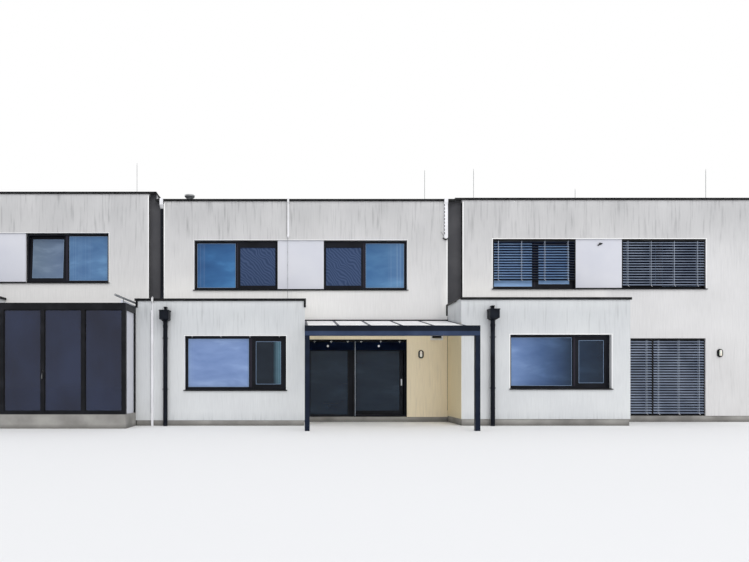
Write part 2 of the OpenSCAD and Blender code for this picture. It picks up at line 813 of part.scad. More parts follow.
// The leaf hangs clear of its frame, and only its groove runs on the rail
module leaf_frame() {
  lift = rail_h + run_gap - leaf_clear;
  translate([leaf_x, leaf_y, threshold_h + leaf_clear]) difference() {
    ring(leaf_w, door_h - frame_w - threshold_h - 2 * leaf_clear, leaf_t,
      leaf_stile, leaf_stile, leaf_stile);
    block([-1, (leaf_t - rail_w) / 2 - leaf_clear, -1],
      [leaf_w + 1, (leaf_t + rail_w) / 2 + leaf_clear, lift]);
  }
}

module leaf_pane() {
  y = leaf_y + (leaf_t - glass_t) / 2;
  block([leaf_x + leaf_stile, y, threshold_h + leaf_clear + leaf_stile],
    [leaf_x + leaf_w - leaf_stile, y + glass_t, door_h - frame_w - leaf_clear - leaf_stile]);
}

// A leaf that is kept shut is drawn with the seals that close its clearance
module shut_leaf() {
  leaf_frame();
  block([leaf_x + leaf_w - 1, leaf_y, threshold_h],
    [door_w - frame_w + 1, leaf_y + leaf_t / 2, door_h - frame_w]);
  block([leaf_x, leaf_y, door_h - frame_w - leaf_clear - 1],
    [door_w - frame_w, leaf_y + leaf_t / 2, door_h - frame_w + 1]);
}

module terrace_door_frames() {
  color("darkslategray") for (i = HOUSES) at_house(i) translate([door_x, reveal_d, 0]) {
    door_frame();
    if (i != MIDDLE) shut_leaf();
  }
}

module terrace_door_glass() {
  y = (frame_d - glass_t) / 2;
  color("steelblue", 0.6) for (i = HOUSES) at_house(i) translate([door_x, reveal_d, 0]) {
    block([frame_w, y, threshold_h], [frame_w + door_light_w, y + glass_t, door_h - frame_w]);
    if (i != MIDDLE) leaf_pane();
  }
}

module sliding_leaf() {
  color("darkslategray") at_house(MIDDLE) translate([door_x, reveal_d, 0]) leaf_frame();
}

module sliding_leaf_glass() {
  color("steelblue", 0.6) at_house(MIDDLE) translate([door_x, reveal_d, 0]) leaf_pane();
}

// Entrance door at the back, shut in its frame
module entrance_doors() {
  color("dimgray") for (i = HOUSES) at_rear(i) translate([entry_x, reveal_d, 0]) {
    ring(entry_w, entry_h, frame_d, frame_w, frame_w, -1);
    block([frame_w - 1, (frame_d - entry_t) / 2, 0],
      [entry_w - frame_w + 1, (frame_d + entry_t) / 2, entry_h - frame_w + 1]);
  }
}

// Crowned slat, turned about its own axis
module slat(length, tilt) {
  steps = 4;
  half = slat_w / 2;
  crown = [for (k = [-steps:steps]) let (u = k / steps) [u * half, slat_crown * (1 - u * u)]];
  rotate([90, 0, 90]) linear_extrude(length) rotate(tilt) polygon(concat(
    crown, [for (k = [2 * steps:-1:0]) crown[k] - [0, slat_t]]));
}

// Blind in the reveal of an opening w by h: slats are set from the head down, to a bottom rail
module blind_slats_in(w, h, count, step, tilt) {
  top = h - head_rail_h - slat_w / 2;
  for (k = [0:count - 1]) translate([guide_w, blind_y, top - k * step]) slat(w - 2 * guide_w, tilt);
}

module blind_rails_in(w, h, count, step, tilt) {
  last = h - head_rail_h - slat_w / 2 - (count - 1) * step;
  drop = last - slat_w / 2 * sin(abs(tilt)) - 2 * slat_t - bottom_rail_h;
  for (x = [0, w - guide_w])
    block([x, blind_y - guide_d / 2, 0], [x + guide_w, blind_y + guide_d / 2, h]);
  block([guide_w, blind_y - head_rail_d / 2, h - head_rail_h],
    [w - guide_w, blind_y + head_rail_d / 2, h]);
  block([guide_w, blind_y - guide_d / 2, drop],
    [w - guide_w, blind_y + guide_d / 2, drop + bottom_rail_h]);
}

// Number of slats that fill an opening of height h
function slat_count(h) = floor((h - head_rail_h - slat_w * 1.25) / slat_pitch) + 1;

// Blinds as [house, x, z, width, height, slats, step, tilt]
BLINDS = [
  [RIGHT, band_x, win_z, win_w, win_h, slat_count(win_h) - short_slats, slat_pitch, -open_tilt],
  [RIGHT, win2_x, win_z, win_w, win_h, slat_count(win_h), slat_pitch, slat_tilt],
  [RIGHT, door_x, 0, blind_split, door_h, slat_count(door_h), slat_pitch, slat_tilt],
  [RIGHT, door_x + blind_split, 0, door_w - blind_split, door_h, slat_count(door_h), slat_pitch,
    slat_tilt],
  [MIDDLE, door_x, 0, blind_split, door_h, stack_count, stack_pitch, 0],
  [MIDDLE, door_x + blind_split, 0, door_w - blind_split, door_h, stack_count, stack_pitch, 0]];

module blind_slats() {
  color("slategray") for (b = BLINDS) at_house(b[0]) translate([b[1], 0, b[2]])
    blind_slats_in(b[3], b[4], b[5], b[6], b[7]);
}

module blind_rails() {
  color("dimgray") for (b = BLINDS) at_house(b[0]) translate([b[1], 0, b[2]])
    blind_rails_in(b[3], b[4], b[5], b[6], b[7]);
}

// Height of the rafters' underside above the floor, at a place y in front of the wall
function roof_line(y) = pergola_top + (y - seat_y) * tan(pergola_slope);

// Sloping layer of the glass roof along X, between two heights above the rafters' underside
module roof_layer(w, y0, y1, low, high) {
  rotate([90, 0, 90]) linear_extrude(w) polygon([
    [y0, roof_line(y0) + low], [y1, roof_line(y1) + low],
    [y1, roof_line(y1) + high], [y0, roof_line(y0) + high]]);
}

module pergola_posts() {
  color("midnightblue") at_house(MIDDLE) for (x = [pergola_x0, pergola_x1 - pergola_post])
    block([x, -pergola_d, -floor_z(MIDDLE)], [x + pergola_post, pergola_post - pergola_d, pergola_beam_z]);
}

// The beam carries the rafters' feet behind, and a gutter in front
module pergola_beam() {
  color("midnightblue") at_house(MIDDLE) {
    translate([pergola_x0, -pergola_d, pergola_beam_z]) {
      cube([pergola_x1 - pergola_x0, pergola_beam_d, pergola_beam_h]);
      translate([0, 0, pergola_beam_h - eps]) rotate([90, 0, 90]) linear_extrude(pergola_x1 - pergola_x0)
        polygon([[0, 0], [pergola_gutter_d, 0], [pergola_gutter_d, gutter_back_h],
          [pergola_gutter_d - gutter_t, gutter_back_h], [pergola_gutter_d - gutter_t, gutter_t],
          [gutter_t, gutter_t], [gutter_t, pergola_gutter_h - gutter_t],
          [3 * gutter_t, pergola_gutter_h - gutter_t], [3 * gutter_t, pergola_gutter_h],
          [0, pergola_gutter_h]]);
      for (x = [0, pergola_x1 - pergola_x0 - gutter_t]) translate([x, 0, pergola_beam_h - eps])
        cube([gutter_t, pergola_gutter_d, gutter_back_h]);
    }
  }
}

module pergola_wall_plate() {
  color("midnightblue") at_house(MIDDLE)
    block([rafter_x0, -wall_plate_d, roof_line(-wall_plate_d)],
      [rafter_x1, 0, roof_line(-wall_plate_d) + rafter_h + roof_glass_t + 2 * cap_h]);
}

// Each rafter is a bar under the sheets, a web between them and a cap over them
module pergola_rafters() {
  color("midnightblue") at_house(MIDDLE) for (k = [0:pergola_bays]) translate([rafter_at(k), 0, 0]) {
    rotate([90, 0, 90]) linear_extrude(rafter_w) polygon([
      [gutter_y, pergola_top], [seat_y, pergola_top],
      [-wall_plate_d, roof_line(-wall_plate_d)], [-wall_plate_d, roof_line(-wall_plate_d) + rafter_h],
      [gutter_y, roof_line(gutter_y) + rafter_h]]);
    translate([(rafter_w - rafter_web) / 2, 0, 0])
      roof_layer(rafter_web, glass_y, -wall_plate_d, rafter_h - eps, rafter_h + roof_glass_t + eps);
    roof_layer(rafter_w, glass_y, -wall_plate_d, rafter_h + roof_glass_t,
      rafter_h + roof_glass_t + cap_h);
  }
}

module pergola_glass() {
  inset = (rafter_w + rafter_web) / 2 + roof_glass_gap;
  color("aliceblue", 0.6) at_house(MIDDLE) for (k = [0:pergola_bays - 1])
    translate([rafter_at(k) + inset, 0, 0])
      roof_layer(rafter_at(1) - rafter_at(0) - rafter_web - 2 * roof_glass_gap,
        glass_y, -wall_plate_d, rafter_h + eps, rafter_h + roof_glass_t - eps);
}

// Open-topped box hopper with a rim and a foot that tapers to the pipe
module hopper() {
  r = pipe_dia / 2 + socket_t;
  difference() {
    union() {
      block([-hopper_w / 2, -hopper_d, 0], [hopper_w / 2, 0, hopper_h]);
      block([-hopper_w / 2 - hopper_rim, -hopper_d - hopper_rim, hopper_h - 2 * hopper_rim],
        [hopper_w / 2 + hopper_rim, 0, hopper_h]);
    }
    block([hopper_t - hopper_w / 2, hopper_t - hopper_d, hopper_t],
      [hopper_w / 2 - hopper_t, -hopper_t, hopper_h + 1]);
  }
  intersection() {
    rotate([90, 0, 0]) linear_extrude(hopper_d) polygon([
      [-hopper_w / 2, eps], [hopper_w / 2, eps], [r, -hopper_foot_h], [-r, -hopper_foot_h]]);
    translate([-hopper_w / 2, 0, 0]) rotate([90, 0, 90]) linear_extrude(hopper_w) polygon([
      [-hopper_d, eps], [0, eps], [r - pipe_off, -hopper_foot_h], [-r - pipe_off, -hopper_foot_h]]);
  }
}

// Spout through the parapet over the hopper, a channel that narrows downwards
module spout() {
  slope = (spout_w - spout_low_w) / 2 / spout_h;
  low = spout_low_w / 2 - hopper_t;
  rotate([90, 0, 0]) difference() {
    linear_extrude(hopper_d / 2) polygon([[-spout_low_w / 2, 0], [spout_low_w / 2, 0],
      [spout_w / 2, spout_h], [-spout_w / 2, spout_h]]);
    translate([0, 0, hopper_t]) linear_extrude(hopper_d) polygon([
      [-low - hopper_t * slope, hopper_t], [low + hopper_t * slope, hopper_t],
      [low + (spout_h - hopper_t) * slope, spout_h - hopper_t],
      [-low - (spout_h - hopper_t) * slope, spout_h - hopper_t]]);
  }
}

module rainwater_hoppers() {
  color("black") for (i = HOUSES) at_house(i) translate([box_x0 + pipe_x, -box_d, 0]) {
    translate([0, 0, hopper_z]) hopper();
    translate([0, 0, box_deck_z]) spout();
  }
}

module pipe(dia, low, high, sockets) {
  translate([0, 0, low]) cylinder(d = dia, h = high - low, $fn = 48);
  for (z = sockets) translate([0, 0, z]) cylinder(d = dia + 2 * socket_t, h = socket_h, $fn = 48);
}

module downpipes() {
  color("black") for (i = HOUSES) at_house(i) translate([box_x0 + pipe_x, -box_d - pipe_off, 0])
    pipe(pipe_dia, -floor_z(i), hopper_z - hopper_foot_h, [hopper_z - hopper_foot_h - 2.5 * socket_h]);
  color("midnightblue") at_house(MIDDLE) translate([joint_pipe_x, joint_pipe_y, 0])
    pipe(joint_pipe_dia, box_top + coping_rise, joint_pipe_top, [joint_pipe_top - socket_h]);
}

// Clamp round a pipe, with a stem back to the wall
module clamp(dia, off, z) {
  translate([0, 0, z]) difference() {
    union() {
      cylinder(d = dia + 2 * socket_t, h = clamp_h, $fn = 48);
      block([-socket_t, 0, 0], [socket_t, off, clamp_h]);
    }
    translate([0, 0, -1]) cylinder(d = dia + 2 * run_gap, h = clamp_h + 2, $fn = 48);
  }
}

module pipe_clamps() {
  color("black") {
    for (i = HOUSES) at_house(i) translate([box_x0 + pipe_x, -box_d - pipe_off, 0])
      for (z = [box_win_sill, box_win_sill + box_win_h - 3 * clamp_h]) clamp(pipe_dia, pipe_off, z);
    at_house(MIDDLE) translate([joint_pipe_x, joint_pipe_y, 0])
      for (z = [win_z, win_z + win_h]) clamp(joint_pipe_dia, joint_recess - joint_pipe_y, z);
  }
}

// White cover of a conductor: over the coping of a wall and down the render to a height low
module conductor_cover(w, top, low) {
  face = top - coping_face + coping_rise;
  cap = top + coping_rise;
  out = coping_out + conductor_d;
  rotate([90, 0, 90]) linear_extrude(w) polygon([
    [0, low], [0, face - 2 * coping_out], [-coping_out, face - coping_out], [-coping_out, cap],
    [conductor_d, cap], [conductor_d, cap + coping_edge], [-out + coping_edge, cap + coping_edge],
    [-out, cap], [-out, face - coping_out], [-conductor_d, face - 2 * coping_out - conductor_d],
    [-conductor_d, low]]);
}

// Swan neck from the roof edge back into the downpipe of the joint
module joint_outlet() {
  w = joint_pipe_dia;
  translate([joint_pipe_x - w / 2, 0, 0]) rotate([90, 0, 90]) linear_extrude(w) polygon([
    [joint_pipe_y + w / 2, joint_pipe_top], [joint_pipe_y + w / 2, joint_pipe_top + w],
    [-coping_out, joint_pipe_top + 1.5 * w], [-coping_out, wall_top + coping_rise],
    [conductor_d, wall_top + coping_rise], [conductor_d, wall_top + coping_rise + 2 * coping_edge],
    [-coping_out - conductor_d + coping_edge, wall_top + coping_rise + 2 * coping_edge],
    [-coping_out - conductor_d, wall_top + coping_rise],
    [-coping_out - conductor_d, joint_pipe_top + w], [joint_pipe_y - w / 2, joint_pipe_top]]);
}

module conductor_covers() {
  color("white") at_house(MIDDLE) {
    translate([conductor_x, 0, 0]) conductor_cover(conductor_w, wall_top, conductor_low);
    translate([facade_w - wide_conductor_w, 0, 0])
      conductor_cover(wide_conductor_w, wall_top, conductor_low);
    translate([box_x0 + box_conductor_x, -box_d, 0]) {
      translate([conductor_w - conductor_strip_w, 0, 0])
        conductor_cover(conductor_strip_w, box_top, box_top - box_cover_drop - eps);
      block([0, -conductor_d, -floor_z(MIDDLE)], [conductor_w, 0, box_top - box_cover_drop]);
    }
    joint_outlet();
  }
}

module lightning_rods() {
  color("silver") for (rod = RODS) at_house(rod[0])
    translate([rod[1], wall_t + rod_foot_dia, deck_z]) {
      cylinder(d = rod_foot_dia, h = rod_foot_h, $fn = 36);
      cylinder(d = rod_dia, h = rod[2], $fn = 16);
    }
}

module roof_vents() {
  color("gray") at_house(MIDDLE) translate([vent_x, wall_t + 2 * vent_dia, deck_z])
    rotate_extrude($fn = 36) polygon([
      [0, 0], [vent_dia, 0], [vent_dia / 2, vent_dia / 2], [vent_dia / 2, vent_h - vent_dia],
      [vent_dia, vent_h - vent_dia / 2], [vent_dia, vent_h - vent_dia / 4], [0, vent_h]]);
}

// Stadium outline, standing on its short side
module stadium(w, h) {
  translate([-w / 2, (w - h) / 2]) square([w, h - w]);
  for (y = [-1, 1]) translate([0, y * (h - w) / 2]) circle(d = w, $fn = 40);
}

module wall_lamps() {
  color("white") for (i = [MIDDLE, RIGHT]) at_house(i) translate([lamp_x, 0, lamp_z])
    rotate([90, 0, 0]) {
      linear_extrude(lamp_d / 3) stadium(lamp_w, lamp_h);
      linear_extrude(lamp_d) stadium(lamp_w - lamp_d / 3, lamp_h - lamp_d / 3);
    }
  color("white") at_house(RIGHT)
    translate([band_x + win_w + (panel_w - sensor_w) / 2, 0, win_z + win_h - sensor_drop - sensor_h])
      cube([sensor_w, panel_recess, sensor_h]);
}

// Louvred grille over the duct beside the terrace door
module terrace_vents() {
  field = grille_h - 2 * grille_frame;
  step = field / grille_blades;
  back = grille_d - blade_t;
  color("white") at_house(MIDDLE) translate([grille_x, -grille_d, door_h - grille_frame]) {
    ring(grille_w, grille_h, grille_d, grille_frame, grille_frame, grille_frame);
    for (k = [0:grille_blades - 1])
      translate([grille_frame - eps, 0, grille_frame + k * step + blade_t]) rotate([90, 0, 90])
        linear_extrude(grille_w - 2 * grille_frame + 2 * eps) polygon([[blade_t, 0],
          [back, step - 3 * blade_t], [back, step - 2 * blade_t], [blade_t, blade_t]]);
  }
}

module veranda_floor() {
  color("silver") at_house(LEFT)
    block([box_x1, -veranda_d, -floor_z(LEFT)], [facade_w, plinth_set, 0]);
}

module veranda_frame() {
  top = veranda_h - fascia_h;
  step = (facade_w - box_x1 - veranda_post) / veranda_bays;
  color("darkslategray") at_house(LEFT) translate([box_x1, -veranda_d, 0]) {
    for (k = [0:veranda_bays]) translate([k * step, 0, 0]) cube([veranda_post, veranda_post, top + 1]);
    cube([facade_w - box_x1, veranda_post, veranda_rail_h]);
    translate([0, 0, top]) cube([facade_w - box_x1, veranda_post, fascia_h]);
    for (x = [0, facade_w - box_x1 - veranda_post]) {
      translate([x, 0, top]) cube([veranda_post, veranda_d, fascia_h]);
      translate([x, veranda_d - box_d - veranda_post, 0]) cube([veranda_post, veranda_post, top + 1]);
    }
  }
}

module veranda_glass() {
  step = (facade_w - box_x1 - veranda_post) / veranda_bays;
  color("steelblue", 0.6) at_house(LEFT) translate([box_x1, -veranda_d, 0])
    for (k = [0:veranda_bays - 1])
      block([k * step + veranda_post, (veranda_post - glass_t) / 2, veranda_rail_h],
        [(k + 1) * step, (veranda_post + glass_t) / 2, veranda_h - fascia_h]);
}

module veranda_panels() {
  side = veranda_post - panel_t;
  color("white") at_house(LEFT) translate([0, -veranda_d, 0])
    for (x = [box_x1 + side / 2, facade_w - side / 2 - panel_t])
      block([x, veranda_post, 0], [x + panel_t, veranda_d - box_d - veranda_post, veranda_h - fascia_h]);
  color("white") at_house(LEFT) for (x = [box_x1 + veranda_post, facade_w - veranda_post])
    block([x - edge_strip_w / 2, -veranda_d, veranda_h],
      [x + edge_strip_w / 2, 0, veranda_h + edge_strip_h]);
}

module veranda_roof() {
  color("gray") at_house(LEFT)
    block([box_x1 + veranda_post, veranda_post - veranda_d, veranda_h - fascia_h],
      [facade_w - veranda_post, 0, veranda_h - fascia_h + veranda_roof_t]);
}

// Guide rails of an awning over the veranda: tubes fixed to the wall and to brackets on the veranda
module awning_rails() {
  run = veranda_d + awning_reach;
  foot_w = veranda_post / 5;
  angle = atan(awning_rise / run);
  // The second tube passes the coping of the next house's box
  passing = facade_w + joint_w + box_x0 - coping_out - coping_edge - awning_rail_dia / 2;
  color("silver") at_house(LEFT)
    for (x = [box_x1 + veranda_post / 2, passing]) translate([x, 0, 0]) {
      difference() {
        translate([0, -run, veranda_h + awning_lift]) rotate([-90 + angle, 0, 0])
          cylinder(d = awning_rail_dia, h = run + awning_rail_dia, $fn = 32);
        block([-awning_rail_dia, 0, 0], [awning_rail_dia, run, 2 * veranda_h]);
      }
      for (y = [-veranda_d, -box_d / 3]) translate([0, y, veranda_h]) {
        block([-coping_edge, bracket_w / 4, 0],
          [coping_edge, bracket_w * 3 / 4, awning_lift + (run + y) * tan(angle)]);
        block([-foot_w / 2, 0, 0], [foot_w / 2, bracket_w, coping_edge]);
      }
    }
}

foundation_slabs();
party_walls();
upper_front_walls();
terrace_walls();
terrace_lintels();
box_front_walls();
box_side_walls();
rear_walls();
first_floors();
roof_decks();
box_roofs();
front_copings();
rear_copings();
party_copings();
box_copings();
joint_panels();
band_panels();
window_sills();
window_frames();
window_sashes();
window_glass();
insect_screens();
terrace_door_frames();
terrace_door_glass();
sliding_leaf();
sliding_leaf_glass();
entrance_doors();
blind_slats();
blind_rails();
pergola_posts();
pergola_beam();
pergola_wall_plate();
pergola_rafters();
pergola_glass();
rainwater_hoppers();
downpipes();
pipe_clamps();
conductor_covers();
lightning_rods();
roof_vents();
wall_lamps();
terrace_vents();
veranda_floor();
veranda_frame();
veranda_glass();
veranda_panels();
veranda_roof();
awning_rails();
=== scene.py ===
# Terraced house row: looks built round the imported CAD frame. Metres, in the frame's own axes.
import math

import bmesh
import bpy
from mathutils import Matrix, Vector


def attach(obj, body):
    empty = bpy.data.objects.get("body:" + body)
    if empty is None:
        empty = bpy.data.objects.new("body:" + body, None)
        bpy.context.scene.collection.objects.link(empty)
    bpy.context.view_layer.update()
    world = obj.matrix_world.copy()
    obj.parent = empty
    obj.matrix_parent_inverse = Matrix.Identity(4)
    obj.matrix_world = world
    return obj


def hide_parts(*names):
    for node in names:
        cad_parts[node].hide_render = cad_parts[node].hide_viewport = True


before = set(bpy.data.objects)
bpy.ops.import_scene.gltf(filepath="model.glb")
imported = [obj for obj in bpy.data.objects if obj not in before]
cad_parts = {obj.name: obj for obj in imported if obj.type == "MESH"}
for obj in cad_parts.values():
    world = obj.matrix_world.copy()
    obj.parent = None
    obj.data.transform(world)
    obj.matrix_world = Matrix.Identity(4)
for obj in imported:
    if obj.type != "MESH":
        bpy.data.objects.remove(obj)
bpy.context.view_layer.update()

# Foundation slabs
# Cast concrete slabs on which the three houses stand; the left one is cast higher. Only their edges
# and a damp line near the ground show below the insulated walls.


def linear(code):
    """An sRGB hex value, or a plain share as a grey, as linear red, green, blue and alpha."""
    if not isinstance(code, str):
        return (code, code, code, 1.0)
    parts = [int(code[k:k + 2], 16) / 255 for k in (0, 2, 4)]
    return (*[v / 12.92 if v <= 0.04045 else ((v + 0.055) / 1.055) ** 2.4 for v in parts], 1.0)


def feed(socket, value):
    """Links an input to an output or a node's first live one, or sets it to a value or colour."""
    if isinstance(value, bpy.types.Node):
        value = next(out for out in value.outputs if out.enabled)
    if isinstance(value, bpy.types.NodeSocket):
        socket.id_data.links.new(value, socket)
    else:
        tint = socket.type == "RGBA" and isinstance(value, (str, float))
        socket.default_value = linear(value) if tint else value


def add(tree, kind, *values, stops=(), **named):
    """Adds a node: small-letter names are settings, the rest inputs, in order or by name. A kind
    without a prefix is a shader node's."""
    made = tree.nodes.new(kind if "Node" in kind else "ShaderNode" + kind)
    for key in [k for k in named if k.islower()]:
        setattr(made, key, named.pop(key))
    for socket, value in zip([s for s in made.inputs if s.enabled], values):
        feed(socket, value)
    for key, value in named.items():
        feed(made.inputs[key.replace("_", " ")], value)
    for k, (place, tint) in enumerate(stops):
        stop = made.color_ramp.elements[k] if k < 2 else made.color_ramp.elements.new(place)
        stop.position, stop.color = place, linear(tint)
    return made


def start(name, **sockets):
    """Starts a material: tree, one shader, and the Object coordinates that its patterns use."""
    made = bpy.data.materials.new(name)
    made.use_nodes = True
    shader = made.node_tree.nodes["Principled BSDF"]
    for key, value in sockets.items():
        shader.inputs[key.replace("_", " ")].default_value = value
    return made, made.node_tree, shader, add(made.node_tree, "TexCoord").outputs["Object"]


def paint(tree, shader, base, relief=None, depth=0.001, strength=0.5, over=()):
    """Wires a base colour, what lies over it as (share, colour, blend), and a relief."""
    for share, tint, *blend in over:
        base = add(tree, "Mix", share, base, tint, data_type="RGBA",
                   blend_type=blend[0] if blend else "MIX")
    feed(shader.inputs["Base Color"], base)
    if relief is not None:
        bump = add(tree, "Bump", Strength=strength, Distance=depth, Height=relief)
        feed(shader.inputs["Normal"], bump)


def dress(material, *names):
    """Gives CAD nodes their finish."""
    for name in names:
        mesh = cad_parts[name].data
        mesh.materials.clear()
        mesh.materials.append(material)


# Float-finished concrete: grey with cloudy cement stains and fine sand grain, darker where damp
concrete, tree, shader, place = start("float_finished_concrete", Roughness=0.9)
stains = add(tree, "TexNoise", place, Scale=1.6, Detail=6.0)
cement = add(tree, "ValToRGB", stains, stops=[(0.32, "7D7B77"), (0.68, "A3A19C")])
level = add(tree, "SeparateXYZ", place).outputs["Z"]
damp = add(tree, "MapRange", level, From_Max=0.12, To_Min=0.75, To_Max=0.0)
# Sand grain is about 2 mm, drawn here at 8 mm so that it shows
sand = add(tree, "TexNoise", place, Scale=1 / 0.008, Detail=2.0)
paint(tree, shader, cement, sand, 0.002, 0.35, [(damp, "5B5955")])
dress(concrete, "foundation_slabs", "first_floors", "veranda_floor")

# Rendered walls
# Insulated walls with scratched mineral render. Rain has drawn dense grey streaks down from every
# coping. Painted warm light lies on the walls under the glass roof, painted bounce light above the
# box roofs.
HOUSES = ((-13.35, 0.37), (-4.3, 0.15), (4.75, 0.185))
LEFT, MIDDLE, RIGHT = HOUSES
FRONT_W, FRONT_Y, REAR_Y, BOX_D = 8.6, -5.25, 5.25, 1.5
ROW_X0, ROW_LONG, ROW_HIGH = -13.35, 26.7, 7.0
# Where along the row the painted bounce light lies, as (metres, share)
BOUNCE_ABOVE_ROOFS = ((-13.35, 0.6), (-4.9, 0.6), (-4.7, 1.0), (-0.2, 1.0), (0.3, 0.75), (1.5, 0.3),
               (4.1, 0.1), (4.25, 1.0), (8.9, 1.0), (9.3, 0.0))


def graded(tree, way, low, long, stops):
    """A tint or share that changes along an axis, with its stops in metres."""
    part = add(tree, "MapRange", way, From_Min=low, From_Max=low + long)
    return add(tree, "ValToRGB", part, stops=[((x - low) / long, v) for x, v in stops])


def drawn(tree, place, stretch, detail):
    """Marks drawn out along an axis: a noise on stretched coordinates."""
    way = add(tree, "Mapping", place, Scale=stretch)
    return add(tree, "TexNoise", way, Scale=1.0, Detail=detail)


def rendered(name, streak, reach, pale, shade="D9D8D7", clean="E1E0DF", warm_light=None):
    """Scratched render: brushed, mottled, and streaked by rain as far as reach says by height."""
    made, tree, shader, place = start(name, Roughness=0.94, Specular_IOR_Level=0.3)
    mottle = add(tree, "TexNoise", place, Scale=0.6, Detail=5.0)
    body = add(tree, "ValToRGB", mottle, stops=[(0.34, shade), (0.66, clean)])
    x, y, z = add(tree, "SeparateXYZ", place).outputs
    # Painted bounce light: paler on the fronts, most of all just above the box roofs and the glass
    # roof
    held = graded(tree, z, 0.0, ROW_HIGH, pale)
    front = add(tree, "MapRange", y, From_Min=FRONT_Y + 0.02, From_Max=FRONT_Y + 0.3, To_Min=1.0,
                To_Max=0.0)
    for share in (graded(tree, x, ROW_X0, ROW_LONG, BOUNCE_ABOVE_ROOFS), front):
        held = add(tree, "Math", held, share, operation="MULTIPLY")
    over = [(held, "FCFAF6")]
    # Painted warm light: a warm tone low on the walls under the glass roof
    if warm_light:
        tone, x0, x1, top = warm_light
        across = add(tree, "Math", x, (x0 + x1) / 2, (x1 - x0) / 2, operation="COMPARE")
        under = add(tree, "MapRange", z, From_Min=top - 0.1, From_Max=top, To_Min=0.9, To_Max=0.0)
        over.append((add(tree, "Math", across, under, operation="MULTIPLY"), tone))
    # The scraper's fine upright marks are a few millimetres wide, drawn at 25 mm so that they show
    marks = drawn(tree, place, (40.0, 40.0, 2.2), 3.0)
    soft = add(tree, "ValToRGB", marks, stops=[(0.34, "F8F8F8"), (0.66, "FFFFFF")])
    # A grey veil of dust, cloudy, thickest under the copings
    cloud = add(tree, "MapRange", drawn(tree, place, (1.6, 1.6, 0.6), 4.0), From_Min=0.3,
                From_Max=0.7, To_Min=0.55)
    veil = add(tree, "Math", graded(tree, z, 0.0, ROW_HIGH, reach), cloud, operation="MULTIPLY")
    # Single dark runs in it, about 30 mm wide and up to half a metre long
    thin = add(tree, "MapRange", drawn(tree, place, (17.0, 17.0, 1.1), 3.0), From_Min=0.54,
               From_Max=0.72)
    dirt = add(tree, "Math", thin, veil, operation="MULTIPLY")
    over += [(1.0, soft, "MULTIPLY"), (veil, streak), (dirt, "4C4E50")]
    # Render grain is 2 to 3 mm, drawn at 9 mm so that it shows
    grain = add(tree, "TexNoise", place, Scale=1 / 0.009, Detail=3.0, Roughness=0.7)
    paint(tree, shader, body, grain, 0.003, 0.3, over)
    return made


NOWHERE = ((0.0, 0.0), (1.0, 0.0))
# The upper walls' second stops paint bounce light, strongest just above the box roofs
upper_render = rendered(
    "scratched_mineral_render", "888A8C", (
        (0.0, 0.15), (6.9, 0.36), (0.4, 0.02), (3.9, 0.03), (4.6, 0.09), (5.2, 0.16), (5.7, 0.28),
        (6.4, 0.4)),
    ((0.0, 0.0), (6.9, 0.0), (2.9, 0.0), (3.0, 0.95), (4.0, 0.9), (4.5, 0.3), (5.2, 0.05)))
# The boxes' render has painted warm light on the side wall at the middle terrace, under the glass
# roof
box_render = rendered(
    "mineral_render_of_the_boxes", "8F969B", (
        (0.0, 0.3), (6.9, 0.2), (0.4, 0.03), (2.4, 0.09), (2.8, 0.2), (3.15, 0.26), (3.4, 0.14)),
    NOWHERE, "D8DADB", "E0E2E2", ("EBDAB0", 4.298, 4.302, 2.9))
terrace_render = rendered(
    "mineral_render_with_painted_warm_light", "A8A5A0", (
        (0.0, 0.2), (6.9, 0.02), (0.4, 0.12), (2.2, 0.11), (3.0, 0.02)),
    NOWHERE, warm_light=("F8E8C6", -0.1, 4.35, 3.0))
dress(upper_render, "upper_front_walls", "party_walls", "rear_walls")
dress(box_render, "box_front_walls", "box_side_walls")
dress(terrace_render, "terrace_walls", "terrace_lintels")


def patterned(name, pattern, stops, depth=0.0, strength=0.0, grain=None, **sockets):
    """A finish whose colour follows a pattern (scale, detail); that or a grain is its relief."""
    made, tree, shader, place = start(name, **sockets)
    noises = [drawn(tree, place, *p) if isinstance(p[0], tuple) else add(
        tree, "TexNoise", place, Scale=p[0], Detail=p[1])
        for p in (pattern, grain) if p]
    base = add(tree, "ValToRGB", noises[0], stops=stops)
    paint(tree, shader, base, noises[-1] if depth else None, depth, strength)
    return made


def local(house, rear=False):
    """Turns a house's own coordinates, seen from its front or its back, into the row frame."""
    x, floor = house
    if rear:
        return lambda a, b, c: Vector((x + FRONT_W - a, REAR_Y - b, floor + c))
    return lambda a, b, c: Vector((x + a, FRONT_Y + b, floor + c))


def moved(at, x, y, z):
    """The same placement, counted from another point."""
    return lambda a, b, c: at(x + a, y + b, z + c)


def skin(bm, rings, closed=False):
    """Skins rings of points, one to the next, and shuts an open run; a ring may be one point."""
    rings = [[bm.verts.new(p) for p in ring] for ring in rings]
    for first, second in zip(rings, rings[1:] + rings[:1] if closed else rings[1:]):
        for k in range(max(len(first), len(second))):
            corners = [ring[n % len(ring)] for ring, n in (
                (first, k), (first, k + 1), (second, k + 1), (second, k))]
            bm.faces.new(list(dict.fromkeys(corners)))
    for ring in () if closed else (rings[0], rings[-1]):
        if len(ring) > 1:
            bm.faces.new(ring)


def strip(bm, corners, profile, at, closed=True):
    """Runs a profile of (outward, inward) points round corners (a, c, da, dc), mitred at each."""
    skin(bm, [[at(a + o * da, d, c + o * dc) for o, d in profile] for a, c, da, dc in corners],
         closed)


def around(a0, a1, c0, c1):
    """Corners of a rectangle, with the outward direction at each."""
    return [(a0, c0, -1, -1), (a1, c0, 1, -1), (a1, c1, 1, 1), (a0, c1, -1, 1)]


def over_head(a0, a1, c0, c1):
    """The same without its lower side: up, across and down."""
    return [(a0, c0, -1, 0), (a0, c1, -1, 1), (a1, c1, 1, 1), (a1, c0, 1, 0)]


def stand(name, mesh):
    """Puts a new object into the scene."""
    obj = bpy.data.objects.new(name, mesh)
    bpy.context.scene.collection.objects.link(obj)
    return obj


